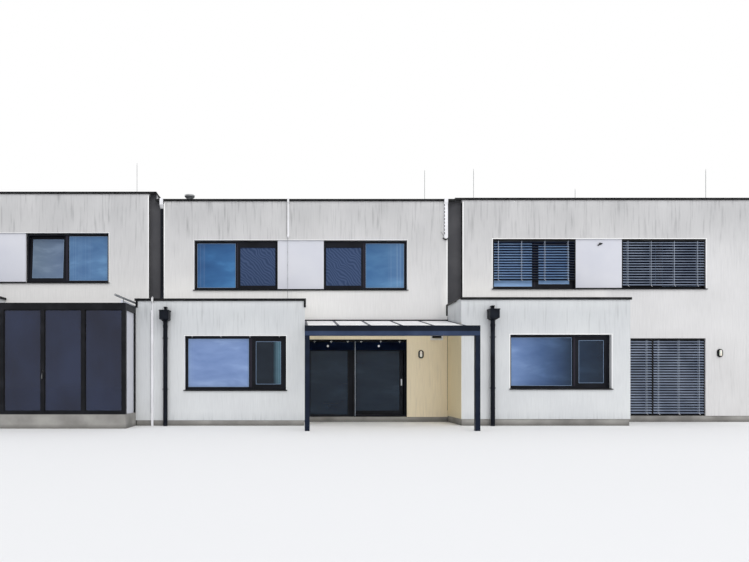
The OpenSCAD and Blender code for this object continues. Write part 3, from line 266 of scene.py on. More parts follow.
def meshed(name, bm):
    """A mesh from a bmesh, its faces turned outwards."""
    bmesh.ops.recalc_face_normals(bm, faces=bm.faces)
    mesh = bpy.data.meshes.new(name)
    bm.to_mesh(mesh)
    bm.free()
    return mesh


def fit(obj, material, slot, *stands_for, body="row"):
    """Last step for every piece: its finish and body, and the CAD nodes it stands for; slot is not
    used.
    """
    obj.data.materials.clear()
    obj.data.materials.append(material)
    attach(obj, body)
    if stands_for:
        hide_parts(*stands_for)


def piece(name, bm, *facts, body="row"):
    """Turns a bmesh into a finished piece; its facts are those of fit."""
    fit(stand(name, meshed(name, bm)), *facts, body=body)


# Painted highlights: thin bright strips on the render round each window opening and along the
# upright corners
BAND = BAND_X0, BAND_X1, BAND_Z0, BAND_Z1 = 0.92, 7.38, 3.86, 5.36
BOX_WIN = BOX_WIN_X0, BOX_WIN_X1, LOW_SILL, LOW_HEAD = 0.91, 3.73, 0.85, 2.35
BEAD_T, CORNER_W, CORNER_LOW, CORNER_HIGH, JOINT_DEEP = 0.0015, 0.032, 3.4, 6.49, 0.13


def bead(wide):
    """Profile of a flat edge of render, its outer side eased."""
    return [(0.0, 0.0), (wide, 0.0), (wide - 0.002, -BEAD_T), (0.0, -BEAD_T)]


bm = bmesh.new()
for house, wide, corners in ((LEFT, 0.014, (FRONT_W - CORNER_W,)),
                             (MIDDLE, 0.014, (0.0, FRONT_W - CORNER_W)), (RIGHT, 0.022, (0.0,))):
    front = local(house)
    strip(bm, over_head(*BAND), bead(wide), front, closed=False)
    strip(bm, over_head(*BOX_WIN), bead(wide), moved(front, 0.0, -BOX_D, 0.0), closed=False)
    for a in corners:
        strip(bm, [(a, CORNER_LOW, 1, 0), (a, CORNER_HIGH, 1, 0)], bead(CORNER_W), front,
              closed=False)
edge_highlight_render = patterned("render_edge_painted_highlight", (3.0, 3.0), [(0.3, "F8F8F6"), (0.7, "FFFFFD")],
                          0.0006, 0.3, grain=(60.0, 2.0), Roughness=0.85)
piece("reveal_beads", bm, edge_highlight_render, "white_render")

# Roofs
# Flat roofs under a welded plastic sheet, laid in 1.5 m lengths with lapped seams. Dust lies in the
# shallow pools.
roof_sheet = patterned("welded_roofing_sheet", (0.9, 7.0), [
    (0.35, "6E7072"), (0.62, "83847F"), (0.8, "97938A")], 0.001, 0.3, grain=(90.0, 2.0),
    Roughness=0.72)
dress(roof_sheet, "roof_decks", "box_roofs", "veranda_roof")


def bar(bm, low, high, edge=0.0):
    """A straight bar between two corners, its edges eased."""
    made = bmesh.ops.create_cube(bm, size=1.0)["verts"]
    low, high = [min(p) for p in zip(low, high)], [max(p) for p in zip(low, high)]
    for v in made:
        v.co = Vector([lo + (hi - lo) * (p + 0.5) for lo, hi, p in zip(low, high, v.co)])
    if edge:
        rim = list(dict.fromkeys(e for v in made for e in v.link_edges))
        bmesh.ops.bevel(bm, geom=rim, offset=edge, segments=1, affect="EDGES")


# Weld laps between two lengths of sheet, 80 mm wide and 3 mm proud, along the slope to the gully
ROOF_Z, BOX_ROOF_Z, BOX_ROOF_X1 = 6.15, 3.05, 3.83
LAP_STEP, LAP_W, LAP_UP, SUNK = 1.48, 0.08, 0.003, 0.0005
bm = bmesh.new()
for house in HOUSES:
    at = local(house)
    for k in range(6):
        y = 1.6 + LAP_STEP * k
        bar(bm, at(0.02, y, ROOF_Z - SUNK), at(FRONT_W - 0.02, y + LAP_W, ROOF_Z + LAP_UP), 0.0012)
    for k in range(3):
        x = 0.55 + LAP_STEP * k
        bar(bm, at(x, -1.08, BOX_ROOF_Z - SUNK),
            at(min(x + LAP_W, BOX_ROOF_X1), -0.02, BOX_ROOF_Z + LAP_UP), 0.0012)
piece("roof_sheet_laps", bm, roof_sheet, "roof_membrane")

# Copings, sills and joint panels
# Folded aluminium sheet, powder coated nearly black, clamped over the wall tops in 3 m lengths. The
# joints between the houses are closed by matt grey panels set back from the render.


def coated(name, colour, dusty, roughness, dust_level=0.62):
    """Powder-coated sheet: fine orange peel, dust in patches and on faces that look up."""
    made, tree, shader, place = start(name, Roughness=roughness, Specular_IOR_Level=0.12)
    patch = add(tree, "TexNoise", place, Scale=2.4, Detail=6.0)
    up = add(tree, "SeparateXYZ", add(tree, "NewGeometry").outputs["Normal"]).outputs["Z"]
    lying = add(tree, "Math", up, 0.3, patch, operation="MULTIPLY_ADD")
    coat = add(tree, "ValToRGB", lying,
               stops=[(dust_level - 0.22, colour), (dust_level + 0.3, dusty)])
    # Orange peel of a powder coat is about 1 mm, drawn at 4 mm
    peel = add(tree, "TexNoise", place, Scale=1 / 0.004, Detail=1.0)
    paint(tree, shader, coat, peel, 0.0003, 0.15)
    return made


black_sheet = coated("black_coated_aluminium_sheet", "0E0F11", "303031", 0.45)
dress(black_sheet, "front_copings", "rear_copings", "party_copings", "box_copings", "window_sills",
      "pergola_wall_plate", "blind_rails")
dress(coated("matt_grey_joint_panel", "4D4D50", "5A5A5C", 0.7), "joint_panels")

# Lapped joint straps, 90 mm wide and 1 mm proud of the coping, at each 3 m length
WALL_TOP, WALL_T, COPING_UP, COPING_DOWN, COPING_OUT, STRAP_W = 6.57, 0.4, 0.03, 0.04, 0.03, 0.09
inner = WALL_T + COPING_OUT - 0.002
strap = [(-COPING_OUT - 0.001, -COPING_DOWN + 0.004), (-COPING_OUT - 0.001, COPING_UP + 0.001),
         (inner, COPING_UP - 0.0069), (inner, COPING_UP - 0.009),
         (-COPING_OUT + 0.001, COPING_UP - 0.002), (-COPING_OUT + 0.001, -COPING_DOWN + 0.004)]
bm = bmesh.new()
for house, places in ((LEFT, (3.0, 6.0)), (MIDDLE, (0.75,)), (RIGHT, (3.14, 6.14))):
    for rear in (False, True):
        for x in places:
            at = moved(local(house, rear), x, 0.0, WALL_TOP)
            skin(bm, [[at(e, max(b, -COPING_OUT + 0.0004) if rear else b, c) for b, c in strap]
                      for e in (0.0, STRAP_W)])
piece("coping_straps", bm, black_sheet, "coping_metal")

# Folded hem below the front edge of each sill, and the angle under each board between windows;
# their black is partly painted shade under the sills
REAR_WIN_X0, REAR_WIN_X1, BOARD_X0, BOARD_X1, SILL_OVER = 3.70, 6.23, 3.4515, 4.8485, 0.03
bm = bmesh.new()
for house in HOUSES:
    front, back = local(house), local(house, rear=True)
    for at, x0, x1, z in ((front, *BAND[:3]), (back, *BAND[:3]),
                          (moved(front, 0.0, -BOX_D, 0.0), *BOX_WIN[:3]),
                          (back, REAR_WIN_X0, REAR_WIN_X1, LOW_SILL)):
        bar(bm, at(x0 - SILL_OVER, -0.0395, z - 0.034), at(x1 + SILL_OVER, -0.0355, z - 0.0253))
    for at in (front, back):
        bar(bm, at(BOARD_X0, 0.0335, BAND_Z0 + 0.0005), at(BOARD_X1, 0.0395, BAND_Z0 + 0.024))
piece("sill_hems_and_angles", bm, black_sheet, "coping_metal")

# Smooth facade boards
# Compact facade boards in a cool white between the upper windows and at the veranda's sides, glued
# on rails; a satin face with very faint roller marks.
dress(patterned("satin_facade_board", (0.8, 3.0), [(0.3, "CFD1DA"), (0.7, "DADBE1")], 0.0005,
                0.12, grain=((40.0, 40.0, 2.0), 3.0), Roughness=0.5),
      "band_panels", "veranda_panels")

# Windows
# Plastic windows with a nearly black foil, a fixed light and a tilt-and-turn sash. Insulating glass
# sits in black rubber gaskets; its coating mirrors a blue sky.
# The foil's embossed grain runs along the profiles; 1 mm wide, drawn at 5 mm
profile_foil = patterned(
    "black_foiled_window_profile", (2.0, 3.0), [(0.3, "0E1016"), (0.75, "1A1C24")], 0.0004, 0.2,
    grain=(1 / 0.005, 2.0), Roughness=0.42, Specular_IOR_Level=0.12)
dress(profile_foil, "window_frames", "window_sashes", "terrace_door_frames", "sliding_leaf")

# Painted reflection and shade in the glass, differing from pane to pane: the mirrored sky's blue,
# dark where a pane lies in shade; stops of (metres along the row, tint)
UPPER_REFLECTION_TINTS = ((-9.9, "5580AC"), (-8.5, "7A8D9F"), (-7.3, "768AA6"), (-7.2, "668FBA"),
               (-6.0, "6893C0"), (-3.3, "33659A"), (-2.1, "457DB4"), (0.5, "2D5789"),
               (1.8, "5384B2"), (3.0, "628DB8"), (5.6, "AAD0FA"), (8.3, "9AC2EE"), (9.1, "060C1E"))
LOWER_REFLECTION_TINTS = ((-9.0, "3A6594"), (-3.4, "8CA4D0"), (-1.6, "869FCC"), (-1.5, "1B2530"),
               (-0.86, "1B2530"), (-0.82, "4F7682"), (-0.6, "4F7682"), (0.0, "22303F"),
               (3.2, "22303F"), (5.6, "86A2D0"), (6.6, "4E6890"), (7.4, "26384E"), (8.5, "1E2A38"),
               (9.1, "050B1C"))
UPPER_CURTAINS = ((-7.25, 0.0), (-7.15, 0.5), (-6.6, 0.35), (-6.5, 0.0), (-3.34, 0.0), (-3.3, 0.8),
                  (-3.12, 0.6), (-3.05, 0.0), (2.55, 0.0), (2.63, 1.0), (3.02, 0.9), (3.1, 0.0))
LOWER_CURTAINS = ((-3.34, 0.0), (-3.32, 1.0), (-3.2, 1.0), (-3.19, 0.0), (-0.86, 0.0),
                  (-0.83, 0.8), (-0.64, 0.8), (-0.6, 0.0))


def along(tree, place, upper, lower):
    """A tint or share along the front, with its own stops for the upper and lower panes."""
    x, y, z = add(tree, "SeparateXYZ", place).outputs
    storey = add(tree, "Math", z, 3.0, operation="GREATER_THAN")
    front = add(tree, "Mix", storey, graded(tree, x, ROW_X0, ROW_LONG, lower),
                graded(tree, x, ROW_X0, ROW_LONG, upper), data_type="RGBA")
    # The panes at the back all have the tint that the first stop gives
    rear = add(tree, "Math", y, 0.0, operation="GREATER_THAN")
    return add(tree, "Mix", rear, front, upper[0][1], data_type="RGBA")


sky_glass, tree, shader, place = start("coated_insulating_glass", Roughness=0.04, IOR=1.52,
                                       Alpha=0.95, Specular_IOR_Level=0.2)
tint = along(tree, place, UPPER_REFLECTION_TINTS, LOWER_REFLECTION_TINTS)
# High thin cloud mirrored in the coating: long flat bands, a little darker between them
drift = add(tree, "Mapping", place, Scale=(0.7, 0.7, 2.0), Rotation=(0.0, 0.22, 0.0))
clouds = add(tree, "TexNoise", drift, Scale=1.3, Detail=4.0, Roughness=0.5, Distortion=0.3)
haze = add(tree, "ValToRGB", clouds, stops=[(0.34, "D3DBE6"), (0.66, "FFFFFF")])
# Painted sky reflection: darker blue towards the top of the upper panes
rise = add(tree, "SeparateXYZ", place).outputs["Z"]
deep = add(tree, "MapRange", rise, From_Min=4.1, From_Max=5.5, To_Max=0.22)
wisp = add(tree, "MapRange", clouds, From_Min=0.56, From_Max=0.74, To_Max=0.3)
# Folds of the light curtains that hang beside some panes, about 30 mm apart
fold = add(tree, "MapRange", drawn(tree, place, (34.0, 34.0, 0.1), 1.0), From_Min=0.46,
           From_Max=0.7, To_Min=0.03, To_Max=0.2)
hung = add(tree, "Math", along(tree, place, UPPER_CURTAINS, LOWER_CURTAINS), fold,
           operation="MULTIPLY")
paint(tree, shader, tint, over=[(1.0, haze, "MULTIPLY"), (deep, "10223C"), (wisp, tint, "SCREEN"),
                                (hung, "A9C0DA")])
dress(sky_glass, "window_glass", "terrace_door_glass", "sliding_leaf_glass")

# The veranda's single panes are toned and look darker, with a violet cast
dress(patterned("toned_toughened_glass", ((0.9, 0.9, 0.5), 3.0),
                [(0.35, "1A1F33"), (0.65, "262F49")], Roughness=0.04, IOR=1.52, Alpha=0.9,
                Specular_IOR_Level=0.35), "veranda_glass")

rubber = patterned("black_rubber_gasket", (14.0, 4.0), [(0.4, "0C0C0D"), (0.8, "262626")],
                   0.0004, 0.3, Roughness=0.75, Specular_IOR_Level=0.12)

WIN_W, WIN_H, WIN2_X, REVEAL, FRAME_FACE, MULLION, LIGHT, SASH = (
    2.53, 1.5, 4.85, 0.12, 0.065, 0.1, 1.19, 0.075)
BOX_LIGHT, LIP, TILT = 1.72, 0.005, math.radians(4)
GLASS_FRONT, GLASS_BACK = 0.022, 0.058
PANE_FACES = ((GLASS_FRONT, GLASS_FRONT - LIP), (GLASS_BACK, GLASS_BACK + LIP))


def windows():
    """Every window as (placement, width, fixed light, mirrored, tilted open)."""
    for house in HOUSES:
        front, back = local(house), local(house, rear=True)
        for at in (front, back):
            yield moved(at, BAND_X0, REVEAL, BAND_Z0), WIN_W, LIGHT, False, False
            yield (moved(at, WIN2_X, REVEAL, BAND_Z0), WIN_W, LIGHT, True,
                   at is front and house == LEFT)
        yield (moved(front, BOX_WIN_X0, REVEAL - BOX_D, LOW_SILL), BOX_WIN_X1 - BOX_WIN_X0,
               BOX_LIGHT, False, False)
        yield moved(back, REAR_WIN_X0, REVEAL, LOW_SILL), WIN_W, LIGHT, False, False


def tilted(at):
    """The same placement for a sash that is tilted inward about its bottom inner edge."""
    pivot_b, pivot_c = 0.07, FRAME_FACE
    return lambda a, b, c: at(
        a, pivot_b + (b - pivot_b) * math.cos(TILT) + (c - pivot_c) * math.sin(TILT),
        pivot_c + (c - pivot_c) * math.cos(TILT) - (b - pivot_b) * math.sin(TILT))


def gasket(bm, at, a0, a1, c0, c1, y):
    """A rubber bead against one face of a pane, just inside its rebate; y is (glass, lip)."""
    strip(bm, around(a0, a1, c0, c1), [
        (0.0, y[0]), (0.0, y[1]), (-0.006, y[1]), (-0.010, y[0])], at)


# Gaskets on both faces of every pane, the bright edge of the spacer beside each front one, the
# mullion's cover strips and the drainage caps' places
SPACER = [(-0.010, GLASS_FRONT), (-0.010, GLASS_FRONT - 0.0006), (-0.020, GLASS_FRONT - 0.0006),
          (-0.020, GLASS_FRONT)]
bm, spacers, strips, caps = bmesh.new(), bmesh.new(), bmesh.new(), []
for at, wide, light, flip, open_ in windows():
    side = (lambda a, wide=wide: wide - a) if flip else (lambda a: a)
    fixed = sorted((side(FRAME_FACE), side(FRAME_FACE + light)))
    sash = sorted((side(FRAME_FACE + light + MULLION + SASH), side(wide - FRAME_FACE - SASH)))
    sides = ((at, fixed, 0.0), (tilted(at) if open_ else at, sash, SASH))
    for y in PANE_FACES:
        for placed, pane, inset in sides:
            gasket(bm, placed, *pane, FRAME_FACE + inset, WIN_H - FRAME_FACE - inset, y)
    for placed, pane, inset in sides:
        strip(spacers, around(*pane, FRAME_FACE + inset, WIN_H - FRAME_FACE - inset), SPACER,
              placed)
    middle = side(FRAME_FACE + light + MULLION / 2)
    strip(strips, [(middle, FRAME_FACE, 1, 0), (middle, WIN_H - FRAME_FACE, 1, 0)],
          [(-0.022, 0.0), (0.022, 0.0), (0.019, -0.004), (-0.019, -0.004)], at, closed=False)
    caps += [at(a, -0.0015, 0.03) for a in (0.35, wide / 2 - 0.2, wide - 0.35)]
piece("glazing_gaskets", bm, rubber, "frame_profile")

# Spacer bars in the panes' edges: roll-formed aluminium, seen through the glass as a thin blue line
spacer_metal = patterned("roll_formed_spacer_aluminium", (160.0, 1.0), [
    (0.35, "6F87A8"), (0.7, "8FA6C0")], 0.0002, 0.2, Metallic=0.4, Roughness=0.4)
piece("glazing_spacers", spacers, spacer_metal, "glazing")

# Cover strips on the mullions: aluminium anodised in a dull bronze, nearly black with a violet cast
bronze = patterned("bronze_anodised_strip", ((300.0, 300.0, 6.0), 2.0), [
    (0.3, "24212A"), (0.7, "33303B")], 0.0002, 0.2, Metallic=0.3, Roughness=0.45,
    Specular_IOR_Level=0.15)
piece("mullion_strips", strips, bronze, "frame_profile")


def branch(name, **inputs):
    """A new geometry tree with named inputs of the kinds given, and the outputs that carry them."""
    tree = bpy.data.node_groups.new(name, "GeometryNodeTree")
    for key, kind in {"Geometry": "Geometry", **inputs}.items():
        tree.interface.new_socket(key, in_out="INPUT", socket_type="NodeSocket" + kind)
    tree.interface.new_socket("Geometry", in_out="OUTPUT", socket_type="NodeSocketGeometry")
    return tree, add(tree, "NodeGroupInput").outputs


def settle(tree, copies, material):
    """Ends a geometry tree: real faces in place of copies, in their finish."""
    real = add(tree, "GeometryNodeRealizeInstances", copies)
    add(tree, "NodeGroupOutput", add(tree, "GeometryNodeSetMaterial", real, Material=material))


def grow(obj, tree, given):
    """Runs a geometry tree on an object, its inputs set by name, and gives the plain mesh."""
    layout = obj.modifiers.new("layout", "NODES")
    layout.node_group = tree
    for socket in tree.interface.items_tree:
        if socket.in_out == "INPUT" and socket.name in given:
            layout[socket.identifier] = given[socket.name]
    made = bpy.data.meshes.new_from_object(obj.evaluated_get(bpy.context.evaluated_depsgraph_get()))
    obj.modifiers.clear()
    return made


def repeated(name, points, form, sizes, material, slot, turn=(0.0, 0.0, 0.0)):
    """Stands a small form on each point with a node tree; turn is one for all or one for each."""
    mesh = bpy.data.meshes.new(name)
    mesh.from_pydata([tuple(p) for p in points], [], [])
    held = mesh.attributes.new("turn", "FLOAT_VECTOR", "POINT")
    for k in range(len(points)):
        held.data[k].vector = turn if isinstance(turn, tuple) else turn[k]
    obj = stand(name, mesh)
    tree, given = branch(name + "_layout", **{
        key: "Int" if isinstance(size, int) else "Float" for key, size in sizes.items()})
    angle = add(tree, "GeometryNodeInputNamedAttribute", Name="turn", data_type="FLOAT_VECTOR")
    copies = add(tree, "GeometryNodeInstanceOnPoints", Points=given["Geometry"],
                 Instance=form(tree, given),
                 Rotation=add(tree, "FunctionNodeEulerToRotation", angle))
    settle(tree, copies, material)
    obj.data = grow(obj, tree, sizes)
    for extra in [a for a in obj.data.attributes if a.name == "turn"]:
        obj.data.attributes.remove(extra)
    fit(obj, material, slot)


def block(tree, given):
    """A flat bar, set in its own middle."""
    size = add(tree, "CombineXYZ", given["Width"], given["Depth"], given["Height"])
    return add(tree, "GeometryNodeMeshCube", Size=size)


# Drainage caps: small slotted hoods on the bottom rail of every frame
repeated("drainage_caps", caps, block, {"Width": 0.042, "Depth": 0.005, "Height": 0.012}, rubber,
         "frame_profile")

# Insect screens
# Roller fly screens in front of the two opening sashes of the middle house: aluminium side rails
# and a box at the head, with a dark woven net drawn down to a bottom bar.
net, tree, shader, place = start("woven_fly_netting", Roughness=0.8, Alpha=0.9,
                                 Specular_IOR_Level=0.1)
# Threads are 1.4 mm apart, too fine to show; where they cross those behind, broad uneven waves show
fine = add(tree, "TexWave", place, Scale=5.6, Distortion=11.0, Detail=1.0, Detail_Scale=0.6,
           wave_type="BANDS", bands_direction="DIAGONAL")
shade = add(tree, "ValToRGB", fine.outputs["Fac"], stops=[(0.2, "374868"), (0.85, "495A7B")])
paint(tree, shader, shade, fine.outputs["Fac"], 0.0006, 0.2)
bm, cloth = bmesh.new(), bmesh.new()
SCREEN_LAP, SCREEN_RAIL, SCREEN_BOX_H, SCREEN_BOX_D, SCREEN_BAR_H = 0.025, 0.035, 0.17, 0.055, 0.062
rail_profile = [(0.0, -0.003), (0.003, 0.0), (SCREEN_RAIL, 0.0), (SCREEN_RAIL, -0.016),
                (0.031, -0.02), (0.004, -0.02), (0.0, -0.016)]
box_profile = [(0.0, 0.0), (0.0, -0.035), (0.018, -SCREEN_BOX_D + 0.02),
               (SCREEN_BOX_H - 0.01, -SCREEN_BOX_D + 0.02), (SCREEN_BOX_H, -0.026),
               (SCREEN_BOX_H, 0.0)]
for x, flip in ((BAND_X0, False), (WIN2_X, True)):
    at = moved(local(MIDDLE), x, REVEAL, BAND_Z0)
    a0, a1 = FRAME_FACE + LIGHT + MULLION, WIN_W - FRAME_FACE + SCREEN_LAP
    if flip:
        a0, a1 = WIN_W - a1, WIN_W - a0
    c0, c1 = FRAME_FACE - SCREEN_LAP, WIN_H - FRAME_FACE + SCREEN_LAP - SCREEN_BOX_H
    inner = SCREEN_RAIL + 0.0005
    strip(bm, around(a0 + SCREEN_RAIL, a1 - SCREEN_RAIL, c0 + SCREEN_RAIL, c1), rail_profile, at)
    skin(bm, [[at(a, b, c1 + c) for c, b in box_profile] for a in (a0, a1)])
    bar(bm, at(a0 + inner, -0.016, c0 + inner),
        at(a1 - inner, -0.002, c0 + SCREEN_RAIL + SCREEN_BAR_H), 0.002)
    bar(cloth, at(a0 + 0.03, -0.011, c0 + 0.03), at(a1 - 0.03, -0.0095, c1 + 0.01))
piece("screen_rails", bm, profile_foil, "frame_profile", "insect_screens")
piece("screen_netting", cloth, net, "netting")

# Terrace doors
# Lift-and-slide doors under the pergola and behind the blinds: fixed light in the outer track, leaf
# in the inner one. The middle house's leaf slides behind the fixed light.
DOOR_X, DOOR_W, DOOR_H, DOOR_LIGHT, THRESHOLD = 4.37, 3.0, 2.35, 1.16, 0.06
LEAF_X, LEAF_W, LEAF_Y, LEAF_T, STILE, CLEAR = 1.369, 1.55, 0.095, 0.06, 0.1, 0.008
DOOR_TOP = DOOR_H - FRAME_FACE
for house, name in zip(HOUSES, ("left", "middle", "right")):
    at = moved(local(house), DOOR_X, REVEAL, 0.0)
    bm, leaf = bmesh.new(), bmesh.new()
    for y in PANE_FACES:
        gasket(bm, at, FRAME_FACE, FRAME_FACE + DOOR_LIGHT, THRESHOLD, DOOR_TOP, y)
    for y in ((LEAF_Y + 0.012, LEAF_Y + 0.007), (LEAF_Y + 0.048, LEAF_Y + 0.053)):
        gasket(leaf, at, LEAF_X + STILE, LEAF_X + LEAF_W - STILE, THRESHOLD + CLEAR + STILE,
               DOOR_TOP - CLEAR - STILE, y)
    piece(name + "_door_gaskets", bm, rubber, "frame_profile")
    piece(name + "_leaf_gaskets", leaf, rubber, "frame_profile",
          body="terrace_leaf" if house == MIDDLE else "row")

# Satin stainless steel of handles and screws: brushed along its length, clear grey
steel = patterned("brushed_stainless_steel", ((500.0, 500.0, 12.0), 2.0), [
    (0.3, "A9ABAD"), (0.7, "C6C7C9")], 0.0002, 0.2, Metallic=1.0, Roughness=0.32)


def circle(steps):
    """Angles all round, evenly spaced."""
    return [2 * math.pi * n / steps for n in range(steps)]


def tube(bm, path, radius, steps=12):
    """A round bar along a path of points, with closed ends."""
    rings = []
    for k, p in enumerate(path):
        way = (path[min(k + 1, len(path) - 1)] - path[max(k - 1, 0)]).normalized()
        level = Vector((0.0, 0.0, 1.0)) if abs(way.z) < 0.9 else Vector((0.0, 1.0, 0.0))
        side = way.cross(level).normalized()
        rise = side.cross(way)
        rings.append([p + radius * (math.cos(t) * side + math.sin(t) * rise)
                      for t in circle(steps)])
    skin(bm, rings)


# The leaf's lever inside, on a long plate, and a flat pull plate outside that clears the light
HANDLE_Z = 1.05
bm = bmesh.new()
at = moved(local(MIDDLE), DOOR_X + LEAF_X + LEAF_W - STILE / 2, REVEAL + LEAF_Y, HANDLE_Z)
bar(bm, at(-0.016, LEAF_T, -0.12), at(0.016, LEAF_T + 0.008, 0.12), 0.003)
tube(bm, [at(0.0, LEAF_T + b, c) for b, c in ((0.004, 0.0), (0.05, 0.0), (0.058, -0.008),
                                              (0.058, -0.19))], 0.009)
bar(bm, at(-0.02, -0.004, -0.1), at(0.02, 0.002, 0.1), 0.0015)
piece("leaf_handle", bm, steel, "frame_profile", body="terrace_leaf")

# External blinds
# Venetian blinds with 80 mm crowned slats of coated aluminium, held by woven ladder tapes between
# two guide rails. Right house: all down, the first one half raised and open. Middle: raised stacks.
BLIND_Y, HEAD_H, SLAT_W, CROWN, GUIDE_W, SPLIT = 0.06, 0.056, 0.08, 0.009, 0.026, 1.415
BLINDS = [  # house, left edge, sill, width, height, slats, pitch, tilt in degrees
    (RIGHT, BAND_X0, BAND_Z0, WIN_W, WIN_H, 15, 0.08, -20.0),
    (RIGHT, WIN2_X, BAND_Z0, WIN_W, WIN_H, 17, 0.08, 36.0),
    *[(house, x, 0.0, wide, DOOR_H, *hang)
      for house, hang in ((RIGHT, (28, 0.08, 36.0)), (MIDDLE, (15, 0.016, 0.0)))
      for x, wide in ((DOOR_X, SPLIT), (DOOR_X + SPLIT, DOOR_W - SPLIT))]]

# Satin coated slat aluminium, nearly black: faces that lie up are painted grey blue, a painted
# reflection of the sky;
# the rest keeps the dark coat as painted shade, and the raised stacks under the pergola keep it all
# over
slat_coat, tree, shader, place = start("satin_coated_slat_aluminium", Metallic=0.2, Roughness=0.4,
                                       Specular_IOR_Level=0.08)
flake = add(tree, "TexNoise", place, Scale=220.0, Detail=1.0)
film = add(tree, "TexNoise", place, Scale=1.8, Detail=5.0)
mixed = add(tree, "Math", flake, 0.25, film, operation="MULTIPLY_ADD")
painted_sky_sheen = add(tree, "ValToRGB", mixed, stops=[(0.45, "6E798C"), (0.8, "8C97AA")])
clear = add(tree, "ValToRGB", mixed, stops=[(0.45, "07122A"), (0.8, "101F3C")])
up = add(tree, "SeparateXYZ", add(tree, "NewGeometry").outputs["Normal"]).outputs["Z"]
lying = add(tree, "MapRange", up, From_Min=0.12, From_Max=0.5)
# Painted shade: only the right house's blinds get the painted sky reflection; the stacks under the
# pergola stay dark
out_of_pergola_shade = add(tree, "Math", add(tree, "SeparateXYZ", place), RIGHT[0], operation="GREATER_THAN")
lying = add(tree, "Math", lying, out_of_pergola_shade, operation="MULTIPLY")
paint(tree, shader, clear, flake, 0.0002, 0.1, [(lying, painted_sky_sheen)])

# One slat, a metre long, with its two edges rolled thicker
outline = [(k / 7 * SLAT_W / 2, CROWN * (1 - (k / 7) ** 2)) for k in range(-7, 8)]
outline += [(b, c - (0.0042 if abs(b) > 0.036 else 0.0016)) for b, c in reversed(outline)]
bm = bmesh.new()
skin(bm, [[(x, b, c) for b, c in outline] for x in (0.0, 1.0)])
one_slat = bpy.data.objects.new("one_slat", meshed("one_slat", bm))

# The stack: a line of points down from the head rail, a slat on each, turned by the blind's tilt
stack, given = branch("slat_stack", Slat="Object", Slats="Int", Pitch="Float", Tilt="Float",
                      Length="Float", Top="Vector")
down = add(stack, "Math", given["Pitch"], -1.0, operation="MULTIPLY")
line = add(stack, "GeometryNodeMeshLine", Count=given["Slats"], Start_Location=given["Top"],
           Offset=add(stack, "CombineXYZ", Z=down))
turned = add(stack, "CombineXYZ", given["Tilt"])
slat = add(stack, "GeometryNodeObjectInfo", Object=given["Slat"]).outputs["Geometry"]
long = add(stack, "CombineXYZ", given["Length"], 1.0, 1.0)
settle(stack, add(stack, "GeometryNodeInstanceOnPoints", Points=line, Instance=slat, Scale=long,
                  Rotation=add(stack, "FunctionNodeEulerToRotation", turned)), slat_coat)

bm, tapes, rungs, turns, hooks = bmesh.new(), bmesh.new(), [], [], []
for house, x, z, wide, high, count, pitch, tilt in BLINDS:
    at = moved(local(house), x, 0.0, z)
    top, lean, half = high - HEAD_H - SLAT_W / 2, math.radians(tilt), SLAT_W / 2
    holder = stand("holder", bpy.data.meshes.new("holder"))
    bm.from_mesh(grow(holder, stack, {
        "Slat": one_slat, "Slats": count, "Pitch": pitch, "Tilt": lean,
        "Length": wide - 2 * GUIDE_W, "Top": at(GUIDE_W, BLIND_Y, top)}))
    bpy.data.objects.remove(holder)
    # Ladder tapes at both edges of the slats, with a rung under each; a raised stack hides them
    rail = top - (count - 1) * pitch - half * math.sin(abs(lean)) - 0.004
    places = [0.18 + 0.705 * k for k in range(4)] if wide > 2 else [0.18, wide / 2, wide - 0.18]
    for a in places if tilt else ():
        for edge in (-1, 1):
            b = BLIND_Y + edge * (half * math.cos(lean) + 0.0015)
            bar(tapes, at(a - 0.005, b - 0.0006, rail - 0.002),
                at(a + 0.005, b + 0.0006, high - HEAD_H + 0.002))
        rungs += [at(a, BLIND_Y, top - k * pitch - 0.004) for k in range(count)]
        turns += [(lean, 0.0, 0.0)] * count
        hooks.append([at(a + d, BLIND_Y - b, rail + c) for d, b, c in (
            (-0.012, 0.044, 0.012), (0.006, 0.048, -0.012), (0.03, 0.046, -0.034))])
piece("blind_slats_shaped", bm, slat_coat, "blind_metal", "blind_slats")
bpy.data.objects.remove(one_slat)

# Ladder tape: grey woven polyester, its ribs across the width
tape, tree, shader, place = start("woven_ladder_tape", Roughness=0.85)
ribs = add(tree, "TexWave", place, Scale=80.0, Distortion=0.5,
           wave_type="BANDS", bands_direction="Z").outputs["Fac"]
grey = add(tree, "ValToRGB", ribs, stops=[(0.3, "A3AEBE"), (0.8, "C3CCDA")])
paint(tree, shader, grey, ribs, 0.0006, 0.4)
# Brush seal down the guide rail between the middle house's two blinds
at = moved(local(MIDDLE), DOOR_X, BLIND_Y, 0.0)
bar(tapes, at(SPLIT + 0.012, -0.0215, 0.02), at(SPLIT + 0.024, -0.018, DOOR_H - HEAD_H))
piece("ladder_tapes", tapes, tape, "blind_metal")
repeated("ladder_rungs", rungs, block, {"Width": 0.008, "Depth": 0.082, "Height": 0.0014}, tape,
         "blind_metal", turns)

# White plastic fittings
# Weathered white PVC: blind catches, the covers of the lightning conductor and the duct grille.
white_plastic = patterned("weathered_white_pvc", ((8.0, 8.0, 1.5), 6.0), [
    (0.32, "DCDCDC"), (0.5, "EEEEF1"), (0.8, "FAFAFC")], 0.0006, 0.2, Roughness=0.5)
dress(white_plastic, "conductor_covers", "terrace_vents")

# Hooks of white wire that hold the tapes in the bottom rails
bm = bmesh.new()
for path in hooks:
    tube(bm, path, 0.005, 8)
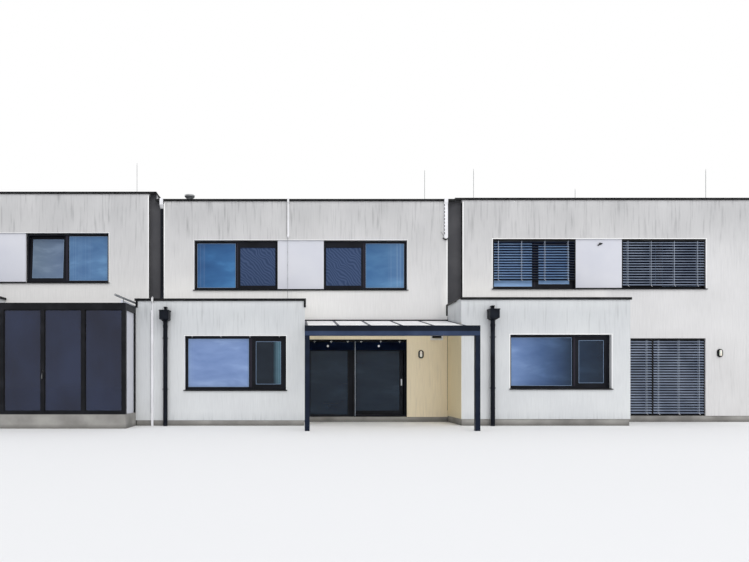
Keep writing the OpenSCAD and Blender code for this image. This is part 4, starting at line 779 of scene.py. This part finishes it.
# Triangles of the same wire: under the head rails of the middle house's blinds, and at the head of
# its box window, where a screen can be hung
box = moved(local(MIDDLE), BOX_WIN_X0, REVEAL - BOX_D - 0.008, LOW_HEAD - 0.006)
head = moved(at, 0.0, -0.048, DOOR_H - HEAD_H)
hung = [(head, a, 0.05, 0.026, 0.006) for a in (
    0.203, SPLIT / 2, SPLIT - 0.203, SPLIT + 0.203, SPLIT + 0.794, SPLIT + 1.369)]
hung += [(box, a, 0.03, 0.02, 0.0045) for a in (0.19, 1.0, 1.81, 2.63)]
for on, a, drop, half, thick in hung:
    tube(bm, [on(a + d, 0.0, c) for d, c in (
        (-half, 0.0), (half, 0.0), (0.0, -drop), (-half, 0.0))], thick, 8)
piece("tape_hooks", bm, white_plastic, "white_plastic")


def headed(tree, given):
    """A domed head on a flat round washer."""
    washer = add(tree, "GeometryNodeMeshCylinder", Vertices=given["Sides"], Radius=given["Washer"],
                 Depth=given["Height"])
    head = add(tree, "GeometryNodeMeshCone", Vertices=given["Facets"], Radius_Top=given["Top"],
               Radius_Bottom=given["Head"], Depth=given["Height"])
    joined = add(tree, "GeometryNodeJoinGeometry")
    for part in (washer, head):
        feed(joined.inputs[0], part)
    return joined


# Round white stops in front of the two raised stacks, one to each blind
at = moved(local(MIDDLE), DOOR_X, 0.011, 2.15)
LEVEL = (math.pi / 2, 0.0, 0.0)
repeated("blind_stops", [at(a, 0.0, 0.0) for a in (0.60, SPLIT + 0.73)], headed, {
    "Sides": 24, "Facets": 24, "Washer": 0.033, "Head": 0.033, "Top": 0.016, "Height": 0.008},
    white_plastic, "white_plastic", LEVEL)

# Entrance doors at the back
# Steel-faced doors in a grey coat, with flush inlays, a tall pull bar, a lock rose and a threshold.
dress(coated("grey_coated_steel_door", "35383B", "55575A", 0.5, 0.7), "entrance_doors")
ENTRANCE_X, PULL_X, PULL_OUT = 1.2, 0.93, -0.055
bm, plates = bmesh.new(), bmesh.new()
for house in HOUSES:
    at = moved(local(house, rear=True), ENTRANCE_X, REVEAL, 0.0)
    for c in [0.55 + 0.38 * k for k in range(4)]:
        bar(bm, at(0.2, 0.0035, c), at(0.8, 0.0055, c + 0.012), 0.0006)
    for c in (0.62, 1.48):
        tube(bm, [at(PULL_X, 0.005, c), at(PULL_X, PULL_OUT + 0.01, c)], 0.008)
    tube(bm, [at(PULL_X, PULL_OUT, 0.52), at(PULL_X, PULL_OUT, 1.58)], 0.014, 20)
    tube(bm, [at(0.98, 0.005, HANDLE_Z), at(0.98, -0.006, HANDLE_Z)], 0.026, 24)
    bar(plates, at(0.06, -0.02, 0.0), at(1.04, 0.078, 0.012), 0.002)
piece("entrance_pulls", bm, steel, "bare_metal")
# Mill-finish aluminium: pewter grey, clouded with handling
bare = patterned("mill_finish_aluminium", (9.0, 8.0), [(0.3, "8E9092"), (0.7, "B4B6B8")],
                 0.0004, 0.2, Metallic=0.9, Roughness=0.45)
piece("entrance_thresholds", plates, bare, "bare_metal")

# Pergola
# Glass roof over the middle terrace: two posts, a beam with a gutter, sloping rafters with screwed
# glazing caps. Aluminium, coated dark blue; the beam below the gutter is painted lighter, a painted
# reflection.
navy = coated("navy_coated_aluminium", "111A2B", "232D42", 0.38, 0.7)
dress(navy, "pergola_posts", "pergola_rafters")
beam_reflection_coat, tree, shader, place = start("navy_coated_aluminium_painted_reflection", Roughness=0.42,
                                   Specular_IOR_Level=0.12)
level = add(tree, "SeparateXYZ", place).outputs["Z"]
# Painted reflection: lighter below the gutter's foot, the coat's own dark above
part = add(tree, "MapRange", level, From_Min=2.484, From_Max=2.496)
patchiness = add(tree, "TexNoise", place, Scale=2.2, Detail=6.0)
reflecting_face = add(tree, "ValToRGB", patchiness, stops=[(0.3, "2B3852"), (0.75, "3C4964")])
dark_face = add(tree, "ValToRGB", patchiness, stops=[(0.3, "0A121E"), (0.75, "141D2A")])
paint(tree, shader, reflecting_face, patchiness, 0.0003, 0.15, [(part, dark_face)])
dress(beam_reflection_coat, "pergola_beam")

# Laminated roof glass, milky with dust and rain marks that have dried in runs down the slope; the
# dust looks white at a flat angle and lets the light through from above
dress(patterned("dusty_laminated_glass", ((14.0, 1.4, 1.4), 6.0),
                [(0.3, "F6F7F4"), (0.7, "FFFFFC")], 0.0004, 0.15, Roughness=1.0, IOR=1.02,
                Transmission_Weight=1.0, Sheen_Weight=1.0, Sheen_Roughness=0.82), "pergola_glass")

RAFTER_X0, RAFTER_STEP, RAFTER_W, SLOPE = 4.26, 0.854, 0.06, math.radians(9.2)
GLASS_Y, PLATE_Y, SEAT_Y, BEAM_TOP = -3.155, -0.08, -3.05, 2.34
at = local(MIDDLE)


def above(y, over_rafter):
    """Height of a point y in front of the wall, over the rafters' underside, measured plumb."""
    return BEAM_TOP + (y - SEAT_Y) * math.tan(SLOPE) + over_rafter


RAFTERS = [RAFTER_X0 + RAFTER_STEP * k for k in range(6)]

# Rubber lips beside every cap
bm = bmesh.new()
for x in RAFTERS:
    for side in (x - 0.004, x + RAFTER_W - 0.001):
        skin(bm, [[at(side + e, y, above(y, h)) for e, h in (
            (0.0, 0.0795), (0.0, 0.084), (0.005, 0.084), (0.005, 0.0795))]
            for y in (GLASS_Y + 0.004, PLATE_Y)])
piece("roof_glass_lips", bm, rubber, "pergola_metal")

# Black sheet folded over the wall plate
bm = bmesh.new()
bar(bm, at(RAFTER_X0 - 0.002, PLATE_Y - 0.006, above(PLATE_Y, 0.0955)),
    at(RAFTERS[-1] + RAFTER_W + 0.002, -0.0005, above(PLATE_Y, 0.119)), 0.002)
piece("wall_plate_cover", bm, black_sheet, "pergola_metal")

# Stainless screws 400 mm apart along every cap
SCREW = {"Sides": 16, "Facets": 12, "Washer": 0.009, "Head": 0.007, "Top": 0.004, "Height": 0.004}
repeated("cap_screws", [
    at(x + RAFTER_W / 2, y, above(y, 0.0885))
    for x in RAFTERS for y in (GLASS_Y + 0.1 + 0.4 * m for m in range(8))], headed, SCREW, steel,
    "bare_metal", (SLOPE, 0.0, 0.0))

# End caps of the gutter, and angle shoes behind the posts' feet
POSTS_X, FOOT_Y, FOOT_Z = (4.22, 8.47), -3.13, -0.15
bm = bmesh.new()
for sides in ((4.219, 4.2235), (8.5865, 8.5915)):
    skin(bm, [[at(x, b, c) for b, c in (
        (-3.2495, 2.3405), (-3.2495, 2.4805), (-3.234, 2.4805), (-3.1255, 2.402),
        (-3.1245, 2.3405))]
        for x in sides])
for x in POSTS_X:
    bar(bm, at(x + 0.01, FOOT_Y, FOOT_Z), at(x + 0.11, FOOT_Y + 0.005, 0.0), 0.0015)
    bar(bm, at(x + 0.01, FOOT_Y, FOOT_Z), at(x + 0.11, FOOT_Y + 0.09, FOOT_Z + 0.008), 0.0015)
piece("pergola_caps_and_shoes", bm, navy, "pergola_metal")
repeated("shoe_bolts", [
    at(x + a, FOOT_Y + 0.05, FOOT_Z + 0.01) for x in POSTS_X for a in (0.03, 0.09)], headed, {
    **SCREW, "Washer": 0.014, "Head": 0.010, "Top": 0.009, "Height": 0.008}, steel, "bare_metal")

# Rainwater
# Box hoppers, round downpipes and clamps of coated sheet, nearly black; each hopper stands below a
# spout through the parapet. Soldered seams, folded rims and screwed clamps.
rain_black = coated("black_coated_rainwater_sheet", "0B0F18", "262D38", 0.42, 0.68)
dress(rain_black, "rainwater_hoppers", "downpipes", "pipe_clamps")
HOPPER_X, HOPPER_D, HOPPER_Z, HOPPER_TOP, HOPPER_FOOT = 0.393, 0.29, 2.788, 3.038, 0.045
HALF_W, RIM, PIPE_R, PIPE_OFF, SOCKET_T = 0.125, 0.012, 0.06, 0.1, 0.006
COLLAR = ((PIPE_R - 0.001, -0.012), (PIPE_R + 0.005, -0.009), (PIPE_R + 0.005, 0.009),
          (PIPE_R - 0.001, 0.012))
bm, nuts = bmesh.new(), []
for house in HOUSES:
    at = moved(local(house), HOPPER_X, -BOX_D, 0.0)
    # Rolled bead along the rim's front and sides
    tube(bm, [at(a, b, HOPPER_TOP - 0.003) for a, b in (
        (-HALF_W - RIM, -0.004), (-HALF_W - RIM, -HOPPER_D - RIM), (HALF_W + RIM, -HOPPER_D - RIM),
        (HALF_W + RIM, -0.004))], 0.005, 8)
    # Standing seams at the two front corners, and a half-round collar under the foot
    for side in (-1, 1):
        bar(bm, at(side * (HALF_W - 0.003), -HOPPER_D - 0.0025, HOPPER_Z),
            at(side * (HALF_W + 0.0035), -HOPPER_D + 0.004, HOPPER_TOP - 0.03), 0.001)
    for z in (HOPPER_Z - HOPPER_FOOT - 0.004, 1.6, 0.3):
        skin(bm, [[at(r * math.cos(t), r * math.sin(t) - PIPE_OFF, z + dz) for r, dz in COLLAR]
                  for t in circle(32)], closed=True)
    for z in (0.85, 2.26):
        for side in (-1, 1):
            bar(bm, at(side * (PIPE_R + SOCKET_T - 0.003), -PIPE_OFF - 0.006, z),
                at(side * (PIPE_R + 0.024), -PIPE_OFF + 0.006, z + 0.03), 0.001)
            nuts.append(at(side * (PIPE_R + 0.016), -PIPE_OFF - 0.008, z + 0.015))
piece("hopper_beads_and_collars", bm, rain_black, "rainwater_metal")
repeated("clamp_screws", nuts, headed, {
    **SCREW, "Washer": 0.008, "Head": 0.006, "Top": 0.005, "Height": 0.006}, steel, "bare_metal",
    LEVEL)

# Lightning conductor
# Aluminium wire 8 mm thick, run from the roof under white covers, then bare down the front of the
# middle house in clips; tall rods on concrete feet stand on the roofs.
bm = bmesh.new()
at = local(MIDDLE)
WIRE_X = 3.755
tube(bm, [at(WIRE_X, b, c) for b, c in (
    (-0.02, 5.49), (-0.02, 5.43), (-0.014, 5.37), (-0.012, 5.2), (-0.012, 4.06), (-0.03, 3.94),
    (-0.052, 3.88), (-0.052, 3.80), (-0.03, 3.75), (-0.012, 3.67), (-0.012, 3.44), (-0.03, 3.395))],
    0.004, 8)
# Drawn aluminium, dulled by oxide
wire_metal = patterned("drawn_aluminium_wire", (30.0, 4.0), [(0.3, "6E7073"), (0.7, "8D8F92")],
                       0.0003, 0.2, Metallic=0.8, Roughness=0.5)
piece("conductor_wires", bm, wire_metal, "bare_metal")
repeated("wire_clips", [at(WIRE_X, b, c) for b, c in (
    (-0.008, 3.55), (0.012, 4.2), (0.012, 4.6), (0.012, 5.0))], block, {
    "Width": 0.018, "Depth": 0.058, "Height": 0.012}, bare, "bare_metal")
# Black parts of the covers: the slotted edge of the wide one, the hook that closes its foot, dark
# strips along the narrow covers' left edges; black strips of painted shade in the joints and a
# corner
repeated("cover_slots", [at(8.50, -0.0415, 5.56 + 0.106 * k) for k in range(9)], block, {
    "Width": 0.018, "Depth": 0.004, "Height": 0.068}, rubber, "white_plastic")
bm = bmesh.new()
tube(bm, [at(a, -0.03, c) for a, c in (
    (8.452, 5.424), (8.475, 5.398), (8.505, 5.378), (8.54, 5.368), (8.57, 5.38), (8.592, 5.404))],
    0.016, 10)
bar(bm, at(3.732, -0.03, 5.47), at(3.741, 0.0, 6.48), 0.001)
bar(bm, at(-0.024, -BOX_D - 0.03, 0.2), at(-0.0155, -BOX_D, 3.0), 0.001)
# Painted shade: black strips on the returns of the joints between the houses
for house, edges in ((LEFT, (FRONT_W,)), (MIDDLE, (-BEAD_T, FRONT_W)), (RIGHT, (-BEAD_T,))):
    for a in edges:
        bar(bm, local(house)(a, 0.002, CORNER_LOW),
            local(house)(a + BEAD_T, JOINT_DEEP, CORNER_HIGH))
# Painted shade: black strips in the corner at the middle house's right end, beside the terrace
bar(bm, at(8.592, -0.002, 0.2), at(FRONT_W, 0.0, 3.04))
bar(bm, at(8.552, -0.004, 3.06), at(FRONT_W, 0.0, 3.4))
piece("cover_hook_and_seals", bm, rubber, "white_plastic")
bm = bmesh.new()
tube(bm, [at(a, -0.012, c) for a, c in ((8.496, 5.475), (8.45, 5.53), (8.394, 5.608))], 0.005, 8)
piece("cover_tail", bm, wire_metal, "bare_metal")
# Clips of the narrow covers, and the wide cover's rounded foot
bm = bmesh.new()
tube(bm, [at(a, -0.045, c) for a, c in (
    (3.742, 5.50), (3.748, 5.458), (3.768, 5.436), (3.796, 5.442))], 0.010, 8)
tube(bm, [at(a, -BOX_D - 0.05, c) for a, c in (
    (-0.002, 3.30), (0.002, 3.39), (0.018, 3.425), (0.04, 3.40))], 0.012, 8)
skin(bm, [[at(a, b, c) for a, c in (
    (8.495, 5.47), (8.497, 5.43), (8.512, 5.406), (8.535, 5.396), (8.56, 5.396), (8.583, 5.406),
    (8.598, 5.43), (8.6, 5.47))] for b in (-0.0395, -0.001)])
piece("cover_clips_and_foot", bm, white_plastic, "white_plastic")


def lathe(bm, centre, profile, steps):
    """Turns a profile of (radius, height) points about a plumb line that both its ends touch."""
    skin(bm, [[centre + Vector((r * math.cos(t), r * math.sin(t), c))
               for t in (circle(steps) if r else [0.0])] for r, c in profile])


# Rods: an aluminium mast that tapers, a clamping plate, and a foot of cast concrete
ROD_Y, TALL, SHORT = 0.7, 1.59, 0.96
bm, feet = bmesh.new(), bmesh.new()
for house, x, tall in ((LEFT, 8.055, TALL), (MIDDLE, 8.055, TALL), (RIGHT, 0.545, TALL),
                       (RIGHT, 3.74, SHORT), (RIGHT, 7.85, TALL)):
    foot = local(house)(x, ROD_Y, ROOF_Z)
    lathe(bm, foot, [(0.0, 0.05), (0.008, 0.05), (0.008, tall - 0.1), (0.005, tall - 0.02),
                     (0.0, tall)], 12)
    lathe(bm, foot, [(0.0, 0.078), (0.03, 0.078), (0.03, 0.095), (0.018, 0.105), (0.0, 0.105)], 16)
    lathe(feet, foot, [(0.0, 0.0), (0.142, 0.0), (0.15, 0.006), (0.15, 0.06), (0.138, 0.078),
                       (0.04, 0.08), (0.0, 0.08)], 40)
piece("rod_masts", bm, bare, "bare_metal", "lightning_rods")
piece("rod_feet", feet, concrete, "concrete")

# Roof vent: a spun aluminium hood; its oxide is dull grey
dress(bare, "roof_vents")

# Louvres of the duct grille: thin blades inside the white frame, with a black block behind them as
# painted shade in the duct
GRILLE_X, GRILLE_W, GRILLE_Z, GRILLE_H, GRILLE_D, GRILLE_RIM = 8.08, 0.375, 2.33, 0.26, 0.032, 0.05
low, high = GRILLE_Z + GRILLE_RIM + 0.012, GRILLE_Z + GRILLE_H - GRILLE_RIM + 0.02
bm = bmesh.new()
bar(bm, at(GRILLE_X + GRILLE_RIM, -GRILLE_D - 0.001, low),
    at(GRILLE_X + GRILLE_W - GRILLE_RIM, -GRILLE_D + 0.004, high), 0.001)
piece("grille_opening", bm, rubber, "white_plastic")
repeated("grille_blades", [at(GRILLE_X + GRILLE_W / 2, -GRILLE_D - 0.004, low + 0.014 + 0.028 * k)
                           for k in range(6)], block, {
    "Width": GRILLE_W - 2 * GRILLE_RIM - 0.004, "Depth": 0.009, "Height": 0.0025}, rubber,
    "white_plastic", (math.radians(35), 0.0, 0.0))

# Lamps
# Oval bulkhead lamps beside the terrace doors: black housing, opal cover held by a screwed rim. A
# small dark sensor lamp hangs in the recess of the right house.
opal = patterned("opal_polycarbonate", (9.0, 2.0), [(0.3, "E9E4D6"), (0.7, "F5F2EA")], 0.0003, 0.1,
                 Roughness=0.25, Subsurface_Weight=0.15)
black_abs = patterned("black_moulded_abs", (350.0, 1.0), [(0.3, "121214"), (0.8, "232427")],
                      0.0003, 0.3, Roughness=0.5, Specular_IOR_Level=0.15)


def oval(bm, at, wide, high, levels):
    """Stacks stadium outlines of (inset, depth) into a closed form."""
    straight = (high - wide) / 2
    skin(bm, [[at((wide / 2 - inset) * math.cos(t), -depth, (wide / 2 - inset) * math.sin(t)
                  + math.copysign(straight, math.sin(t) + 1e-9)) for t in circle(40)]
              for inset, depth in levels])


housing, lens = bmesh.new(), bmesh.new()
for house in (MIDDLE, RIGHT):
    at = moved(local(house), 7.79, 0.0, 1.9)
    oval(housing, at, 0.16, 0.25, [(0.0, 0.0), (0.0, 0.034), (0.004, 0.044), (0.012, 0.052),
                                   (0.03, 0.058), (0.04, 0.058)])
    oval(lens, moved(at, -0.008, 0.0, 0.0), 0.074, 0.185, [
        (0.0, 0.05), (0.0, 0.07), (0.005, 0.08), (0.014, 0.087), (0.026, 0.09)])
    for c in (0.107, -0.107):
        lathe(housing, at(0.0, -0.056, c), [(0.0, -0.004), (0.004, -0.004), (0.004, 0.004),
                                            (0.0, 0.004)], 12)
at = moved(local(RIGHT), 4.08, 0.0, 5.21)
bar(housing, at(0.08, 0.02, -0.02), at(0.13, 0.04, 0.04), 0.004)
tube(housing, [at(a, 0.0205, c) for a, c in (
    (0.035, -0.04), (0.06, -0.026), (0.115, 0.0), (0.165, 0.018))], 0.0195, 16)
piece("lamp_housings", housing, black_abs, "lamp_plastic", "wall_lamps")
piece("lamp_covers", lens, opal, "lamp_plastic")

# Veranda and awning rails
# Glazed veranda of the left house, aluminium coated nearly black under a flat sheet roof; awning
# rails of plain aluminium tube with black end plugs run over it.
dress(coated("anthracite_coated_aluminium", "121317", "2B2C31", 0.42, 0.7), "veranda_frame")
dress(bare, "awning_rails")
VERANDA_X, VERANDA_D, VERANDA_STEP, VERANDA_POST = 4.25, 2.5, 1.0625, 0.1
bm, grips = bmesh.new(), bmesh.new()
at = moved(local(LEFT), VERANDA_X, -VERANDA_D, 0.0)
for k in range(4):
    a0, a1 = VERANDA_STEP * k + VERANDA_POST, VERANDA_STEP * (k + 1)
    for y in ((0.032, 0.024), (0.068, 0.076)):
        strip(bm, around(a0, a1, 0.08, 2.74), [
            (0.0, y[0]), (0.0, y[1]), (-0.012, y[1]), (-0.018, y[0])], at)
for x in (4.3, 8.5345):
    tube(bm, [local(LEFT)(x, b, c) for b, c in ((-3.189, 3.029), (-3.17, 3.0304))], 0.0278, 20)
piece("veranda_gaskets_and_plugs", bm, rubber, "veranda_metal")
# Two handles that lie in one place, which darkens their steel
at = moved(at, VERANDA_STEP * 2 + VERANDA_POST / 2, 0.0, HANDLE_Z)
for _ in range(2):
    bar(grips, at(-0.014, -0.006, -0.12), at(0.014, 0.001, 0.12), 0.002)
    tube(grips, [at(0.0, b, c) for b, c in (
        (0.0, 0.0), (-0.045, 0.0), (-0.052, -0.01), (-0.052, -0.12))], 0.008)
piece("veranda_handles", grips, steel, "veranda_metal")

# Studio
# Plain pale floor, white backdrop and soft light; the camera stands where the photograph was taken.
mesh = bpy.data.meshes.new("studio_floor")
mesh.from_pydata([(-90, -80, -0.002), (90, -80, -0.002), (90, 100, -0.002), (-90, 100, -0.002)], [],
                 [(0, 1, 2, 3)])
floor = stand("studio_floor", mesh)
mesh.materials.append(patterned("pale_studio_floor", (0.05, 2.0),
                                [(0.3, "E9E9E8"), (0.7, "EDEDEC")], Roughness=0.95))

scene = bpy.context.scene
world = bpy.data.worlds.new("studio")
world.use_nodes = True
scene.world = world
tree = world.node_tree
tree.nodes.clear()
path = add(tree, "LightPath").outputs
seen = path["Is Camera Ray"]
for ray in ("Is Glossy Ray", "Is Transmission Ray"):
    seen = add(tree, "Math", seen, path[ray], operation="MAXIMUM")
room = add(tree, "Background", Color="F7F9FF", Strength=0.98)
white = add(tree, "Background", Color=1.0, Strength=1.0)
add(tree, "OutputWorld", add(tree, "MixShader", seen, room, white))

sun = bpy.data.lights.new("soft_key", "SUN")
sun.energy, sun.angle, sun.color = 0.85, math.radians(45), (1.0, 0.97, 0.92)
stand("soft_key", sun).rotation_euler = (math.radians(48), 0.0, math.radians(24))

FOCAL_PX, IMAGE_W, IMAGE_H, VANISH_X, VANISH_Y = 600.0, 749, 562, 295.0, 380.0
camera = bpy.data.cameras.new("photo_view")
camera.sensor_width = 36.0
camera.lens = FOCAL_PX / IMAGE_W * camera.sensor_width
camera.shift_x = (IMAGE_W / 2 - VANISH_X) / IMAGE_W
camera.shift_y = (VANISH_Y - IMAGE_H / 2) / IMAGE_W
camera.clip_end = 500.0
viewer = stand("photo_view", camera)
viewer.location = (-0.324, -23.43, 1.27)
viewer.rotation_euler = (math.radians(90), 0.0, 0.0)
scene.camera = viewer
scene.view_settings.view_transform = "Standard"
